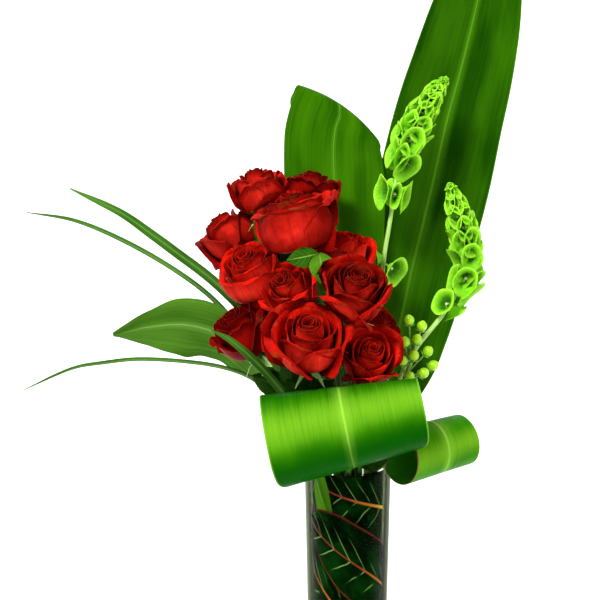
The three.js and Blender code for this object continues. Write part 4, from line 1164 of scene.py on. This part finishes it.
def rose_stem(rose, materials):
    build = Build()
    low, high = foot(*rose.slot)
    neck = rose.base - rose.axis * HIP_LENGTH
    rise = np.linalg.norm(neck - high) * STEM_RISE
    bend = bezier(high, high + UP * rise, neck - rose.axis * rose.reach, neck, 26)
    line = np.vstack([low, (low + high) / 2, bend, rose.base + HIP[:, :1] * rose.axis])
    radii = np.append(np.full(len(bend) + 2, STEM_RADIUS), HIP[:, 1])
    tube(build, line, radii, 14, 0, 0.07 * rose.number)
    s, t = stations(17, 7)
    half = graph(SEPAL_OUTLINE, s)
    height = -2.6 - 10 * s + 2.5 * np.sin(math.pi * s) - 0.25 * half * t * t
    for k in range(SEPALS):
        angle = math.radians(rose.turn + 360 / SEPALS * (k + 0.5))
        points = rose.placed(ray(angle, lerp(2, SEPAL_REACH, s), half * t, height))
        points = clear_of_blooms(points)
        sheet(build, points, SEPAL_THICKNESS, s, t, SEPAL_REACH, SEPAL_HALF, 0.1 + 0.13 * k, 1)
    for k, tip in enumerate(LONG_SEPALS.get(rose.number, [])):
        leaflet(build, rose.base - 4 * rose.axis, tip, LONG_SEPAL_HALF, [0.3, 0, 1], 0.4 + 0.3 * k, 1)
    if rose.number in ROSE_LEAVES:
        spot, knot, leaflets = ROSE_LEAVES[rose.number]
        joint = Line(bend).at(spot)
        tube(build, [joint, (joint + knot) / 2, knot], [1.2, 0.9, 0.8], 8)
        for k, (tip, half, side) in enumerate(leaflets):
            # Leaflets of the lower roses get a high tint, which their finish darkens with painted shade.
            leaflet(build, knot, tip, half, side, 0.3 + 0.17 * k + 0.05 * rose.number, 2)
    dress(build, f"rose_{rose.number:02d}_stem", "green", "stem", materials)


# Bells of Ireland.

# Each spike: its slot, the points that its stem goes through, its lone bells and its whorls. A lone
# bell has its share of the stem, compass direction, droop, size, width for its height and perhaps
# the length of its own stalk. A whorl has its share, number of bells, size, first direction and droop.
SPIKES = {
    "bells_of_ireland_back": (
        ("outer", 5),
        [[21, 27, 285], [30, 43, 350], [34, 44, 417], [40, 45, 456], [45, 47, 490],
         [54, 50, 521], [68, 53, 553], [83, 55, 576], [91, 56, 586]],
        [[0.515, -55, 22, 15, 0.78, 8], [0.525, -165, 15, 9.5, 0.6], [0.69, -143, 14, 15.5, 0.72],
         [0.69, -86, 18, 13.5, 0.42], [0.69, -28, 14, 14.5, 0.5], [0.7, 90, 20, 13, 0.7],
         [0.785, -158, 8, 15, 0.75], [0.775, -60, 24, 16, 0.72], [0.79, -105, 25, 13.5, 0.5],
         [0.785, 30, 15, 13, 0.7], [0.785, 120, 15, 13, 0.7]],
        [[0.83, 5, 14.5, -80, 22], [0.865, 6, 13.5, -60, 12], [0.898, 6, 12, -90, 4],
         [0.928, 6, 10.5, -60, -8], [0.953, 6, 8.5, -90, -22], [0.973, 5, 6.5, -90, -38],
         [0.99, 5, 4.5, -54, -55]],
    ),
    "bells_of_ireland_side": (
        ("outer", 4),
        [[40, 10, 290], [59, 14, 335], [86, 20, 369], [105, 24, 398], [111, 25, 412],
         [109, 26, 432], [103, 27, 460], [93, 28, 490]],
        [[0.59, -135, -5, 14, 0.8], [0.6, 5, 25, 13, 0.7], [0.68, -165, 12, 13.5, 0.55],
         [0.67, -20, 25, 14.5, 0.75], [0.7, -95, 18, 14.5, 0.75], [0.71, -40, 20, 13.5, 0.6],
         [0.72, 60, 15, 13, 0.7], [0.73, 125, 15, 13, 0.7]],
        [[0.775, 5, 14, -80, 22], [0.82, 6, 13, -60, 15], [0.86, 6, 12, -90, 6],
         [0.896, 6, 10.5, -60, -4], [0.928, 6, 9, -90, -18], [0.958, 5, 7, -54, -34],
         [0.985, 5, 4.8, -90, -52]],
    ),
}
# The width for its height of a bell in a whorl.
BELL_WIDTH = 0.7
# A bell's thickness at its foot and at its rim.
BELL_THICKNESS = (0.6, 0.3)
# The small flower in a bell: radius and height, as shares of the bell's size.
FLOWER = [[0, 0.14], [0.06, 0.18], [0.09, 0.28], [0.12, 0.36], [0.07, 0.43], [0, 0.45]]


def bell(build, size, width, aim, along, spot, draw):
    """A wide bell, longer up the stem than across, with a flared rim and a small pale flower in it."""
    rise = unit(along - dot(along, aim) * aim)
    axes = np.stack([np.cross(rise, aim), rise, aim])
    rows, sides = 10, 24
    u = np.linspace(0, 1, rows)[:, None]
    angle = angles(sides)
    phase = draw.uniform(0, 2 * math.pi)
    across, tall = width * draw.uniform(0.94, 1.08), draw.uniform(1.02, 1.14)
    corners = 0.035 * u**3 * np.cos(5 * angle + phase) + 0.05 * u**3 * np.cos(2 * angle + phase)
    r = size * (0.14 + 0.6 * u**0.65 + 0.26 * u**4) * (1 + corners)
    x, y = across * r * np.cos(angle), tall * r * np.sin(angle)
    z = size * (0.08 + 0.95 * u - 0.1 * u**5 + 0.07 * u**2 * np.sin(3 * angle + phase))
    outer = xyz(x, y, z)
    wall = np.linspace(*BELL_THICKNESS, rows)[:, None, None]
    inner = outer + unit(xyz(-x, -y, 0.8 * r)) * wall
    grid = np.concatenate([outer, inner[::-1]])
    tint = draw.random()
    share = np.append(u, u[::-1])[:, None]
    flow = xyz(share, np.linspace(-1, 1, sides, endpoint=False), np.repeat([-1, 1], rows)[:, None])
    flow = np.vstack([flow.reshape(-1, 3), [0, 0, -1], [0, 0, 1]])
    place = xyz(grid[..., 0], grid[..., 1], tint).reshape(-1, 3)
    place = np.vstack([place, [0, 0, tint], [0, 0, tint]])
    ends = xyz(0, 0, np.array([0, grid[-1, :, 2].mean()]))
    skin(build, grid @ axes + spot, ends @ axes + spot, flow, place, 1)
    turned(build, np.array(FLOWER) * size, 8, turning_to(aim), spot, 2, draw.random())


def bell_spike(name, materials, seed, slot, points, lone, whorls):
    draw = np.random.default_rng(seed)
    build = Build()
    low, high = foot(*slot)
    line = Line([high, *points])
    share = np.linspace(0, 1, 40)
    radii = np.append(STEM_RADIUS, lerp(STEM_RADIUS, 1.6, share))
    tube(build, np.vstack([low, line.at(share)]), radii)
    bells = list(lone)
    for share, count, size, first, droop in whorls:
        bells += [[share, first + 360 / count * k, droop, size, BELL_WIDTH] for k in range(count)]
    for share, compass, droop, size, width, *stalk in bells:
        root, along = line.at(share), line.along(share)
        # A thin prickle stands beside each bell.
        for prickle in (False, True):
            turn = math.radians(compass + draw.uniform(-9, 9) + 25 * prickle)
            dip = math.radians(droop + draw.uniform(-8, 8))
            aim = ray(turn, 1, 0, 0)
            aim = unit(aim - dot(aim, along) * along) * math.cos(dip) - along * math.sin(dip)
            if prickle:
                tube(build, [root, root + 0.45 * size * aim, root + 0.9 * size * aim], [0.4, 0.3, 0.08], 5)
                continue
            spot = root + sum(stalk) * aim
            bell(build, size * draw.uniform(0.93, 1.05), width, aim, along, spot, draw)
            if stalk:
                tube(build, [root, (root + spot) / 2, spot + 0.15 * size * aim], [0.9, 0.8, 1.3], 8)
    dress(build, name, "bells", "bells", materials, 70)


# Hypericum.

BERRY_RADIUS = 4.8
BERRIES = [
    [55, -2, 369], [67, 2, 363], [62, -6, 352], [59, -10, 338], [72, -5, 341], [49, -8, 333],
    [77, -5, 328], [68, -10, 322], [55, -12, 319], [51, -7, 350], [50, -4, 306],
]
HYPERICUM_STEM = [[30, -8, 262], [44, -5, 296], [57, -1, 330]]
BERRY_SEPAL_LENGTH = 5
BERRY_SEPAL_HALF = 1.4
BERRY_SEPAL_THICKNESS = 0.35
BERRY_PROFILE = [[0, -1.02], [0.3, -0.97], [0.62, -0.8], [0.88, -0.45], [1, -0.05], [0.95, 0.35],
                 [0.74, 0.72], [0.4, 0.98], [0.14, 1.1], [0, 1.14]]


def hypericum(materials):
    build = Build()
    low, high = foot("outer", 3)
    line = Line([high, *HYPERICUM_STEM])
    tube(build, np.vstack([low, line.at(np.linspace(0, 1, 24))]), 2, 10)
    top = HYPERICUM_STEM[-1][2] + 30
    s, t = stations(6, 3)
    half = BERRY_SEPAL_HALF * np.sin(math.pi * np.clip(0.15 + 0.83 * s, 0, 1))
    height = BERRY_RADIUS * (-1.08 + 0.35 * s * s)
    for number, spot in enumerate(np.array(BERRIES, float)):
        # A lower berry branches off lower on the stem.
        branch = line.at(np.clip(1 - (top - spot[2]) / 200, 0.7, 1))
        aim = unit(spot - branch)
        tube(build, [branch, (branch + spot) / 2, spot - 0.8 * BERRY_RADIUS * aim], [1, 0.8, 0.9], 8)
        facing = turning_to(aim)
        tint = (0.137 * number) % 1
        turned(build, np.array(BERRY_PROFILE) * BERRY_RADIUS, 20, facing, spot, 1, tint)
        for k in range(SEPALS):
            angle = math.radians(360 / SEPALS * k + 20 * number)
            middle = ray(angle, BERRY_RADIUS * lerp(0.2, 1.1, s), half * t, height) @ facing.T + spot
            sheet(build, middle, BERRY_SEPAL_THICKNESS, s, t, BERRY_SEPAL_LENGTH, BERRY_SEPAL_HALF,
                  tint, 2)
    dress(build, "hypericum_sprig", "berries", "berry", materials)


# The whole arrangement.

vase()
water()
croton = croton_finish()
lining = leaf_finish("lining", (0.008, 0.06, 0.0004), (0.06, 0.19, 0.001), (0.12, 0.26, 0.01), 0.5)
for number, (name, leaf) in enumerate(LINER_LEAVES.items()):
    liner_leaf(name, 0.13 * number, croton if "croton" in name else lining, *leaf)

tall_tones = [(0.003, 0.03, 0.0002), (0.02, 0.09, 0.0008), (0.06, 0.2, 0.006)]
# The edge tone is a painted highlight along the leaf's margins.
tall_finish = leaf_finish("tall_leaf", *tall_tones, rib_width=2.4, edge=(0.06, 0.2, 0.003))
broad_leaf("tall_leaf_right", tall_finish, 0.61, 150, 25, **TALL_RIGHT_LEAF)
tall_left_leaf(leaf_finish("left_leaf", (0.008, 0.055, 0.0003), (0.034, 0.135, 0.001), (0.08, 0.24, 0.01)))
low_tones = [(0.01, 0.05, 0.002), (0.06, 0.16, 0.012), (0.14, 0.3, 0.05)]
# foot paints shade over the lower part of the leaf.
low_finish = leaf_finish("low_leaf", *low_tones, 0.38, streak=0.9, contrast=0.8, foot=0.34)
broad_leaf("low_leaf_left", low_finish, 0.27, 90, 19, **LOW_LEFT_LEAF)
roll_tones = [(0.014, 0.12, 0.0004), (0.045, 0.21, 0.001), (0.2, 0.42, 0.03)]
# The edge tone is a painted highlight along the margins.
roll_lines = {"gloss": 0.3, "rib_width": 2.4, "streak": 1.3, "face": 1, "edge": (0.14, 0.36, 0.03)}
# bright gives the shares where each roll's painted highlight band and painted shade lie.
front_finish = leaf_finish("front_roll", *roll_tones, **roll_lines, bright=(0.29, 0.48, 0.578, 0.715))
rolled_leaf("rolled_leaf_front", front_finish, 0.44, **FRONT_ROLL)
side_finish = leaf_finish("side_roll", *roll_tones, **roll_lines, bright=(0.1, 0.3, 0.67, 1.05),
                          cut=(0.16, 0.05, 0.03))
rolled_leaf("rolled_leaf_side", side_finish, 0.83, **SIDE_ROLL)
grass_tones = [(0.007, 0.042, 0.002), (0.045, 0.14, 0.012), (0.13, 0.28, 0.05)]
# foot paints shade over the lower part of each blade.
grass_finish = leaf_finish("grass", *grass_tones, 0.38, 0.5, 1.6, foot=0.62)
for name, clump in CLUMPS.items():
    grass(name, grass_finish, *clump)

petals = petal_finish()
sepal = stem_finish("sepal", (0.14, 0.32, 0.05), (0.4, 0.58, 0.2), 0.5)
rose_stalk = stem_finish("rose_stalk", (0.012, 0.06, 0.006), (0.05, 0.15, 0.018))
rose_leaf = leaflet_finish()
for rose in ALL_ROSES.values():
    bloom(rose, petals)
    rose_stem(rose, [rose_stalk, sepal, rose_leaf])

spike_stalk = stem_finish("spike_stalk", (0.2, 0.4, 0.06), (0.42, 0.62, 0.18))
bract = bell_finish()
flower = plain_finish("small_flower", (0.3, 0.5, 0.12), (0.75, 0.85, 0.55))
for seed, (name, spike) in enumerate(SPIKES.items()):
    bell_spike(name, [spike_stalk, bract, flower], seed, *spike)
hypericum([stem_finish("sprig", (0.12, 0.26, 0.03), (0.25, 0.42, 0.08)), berry_finish(),
           plain_finish("berry_sepal", (0.12, 0.3, 0.03), (0.26, 0.46, 0.08))])
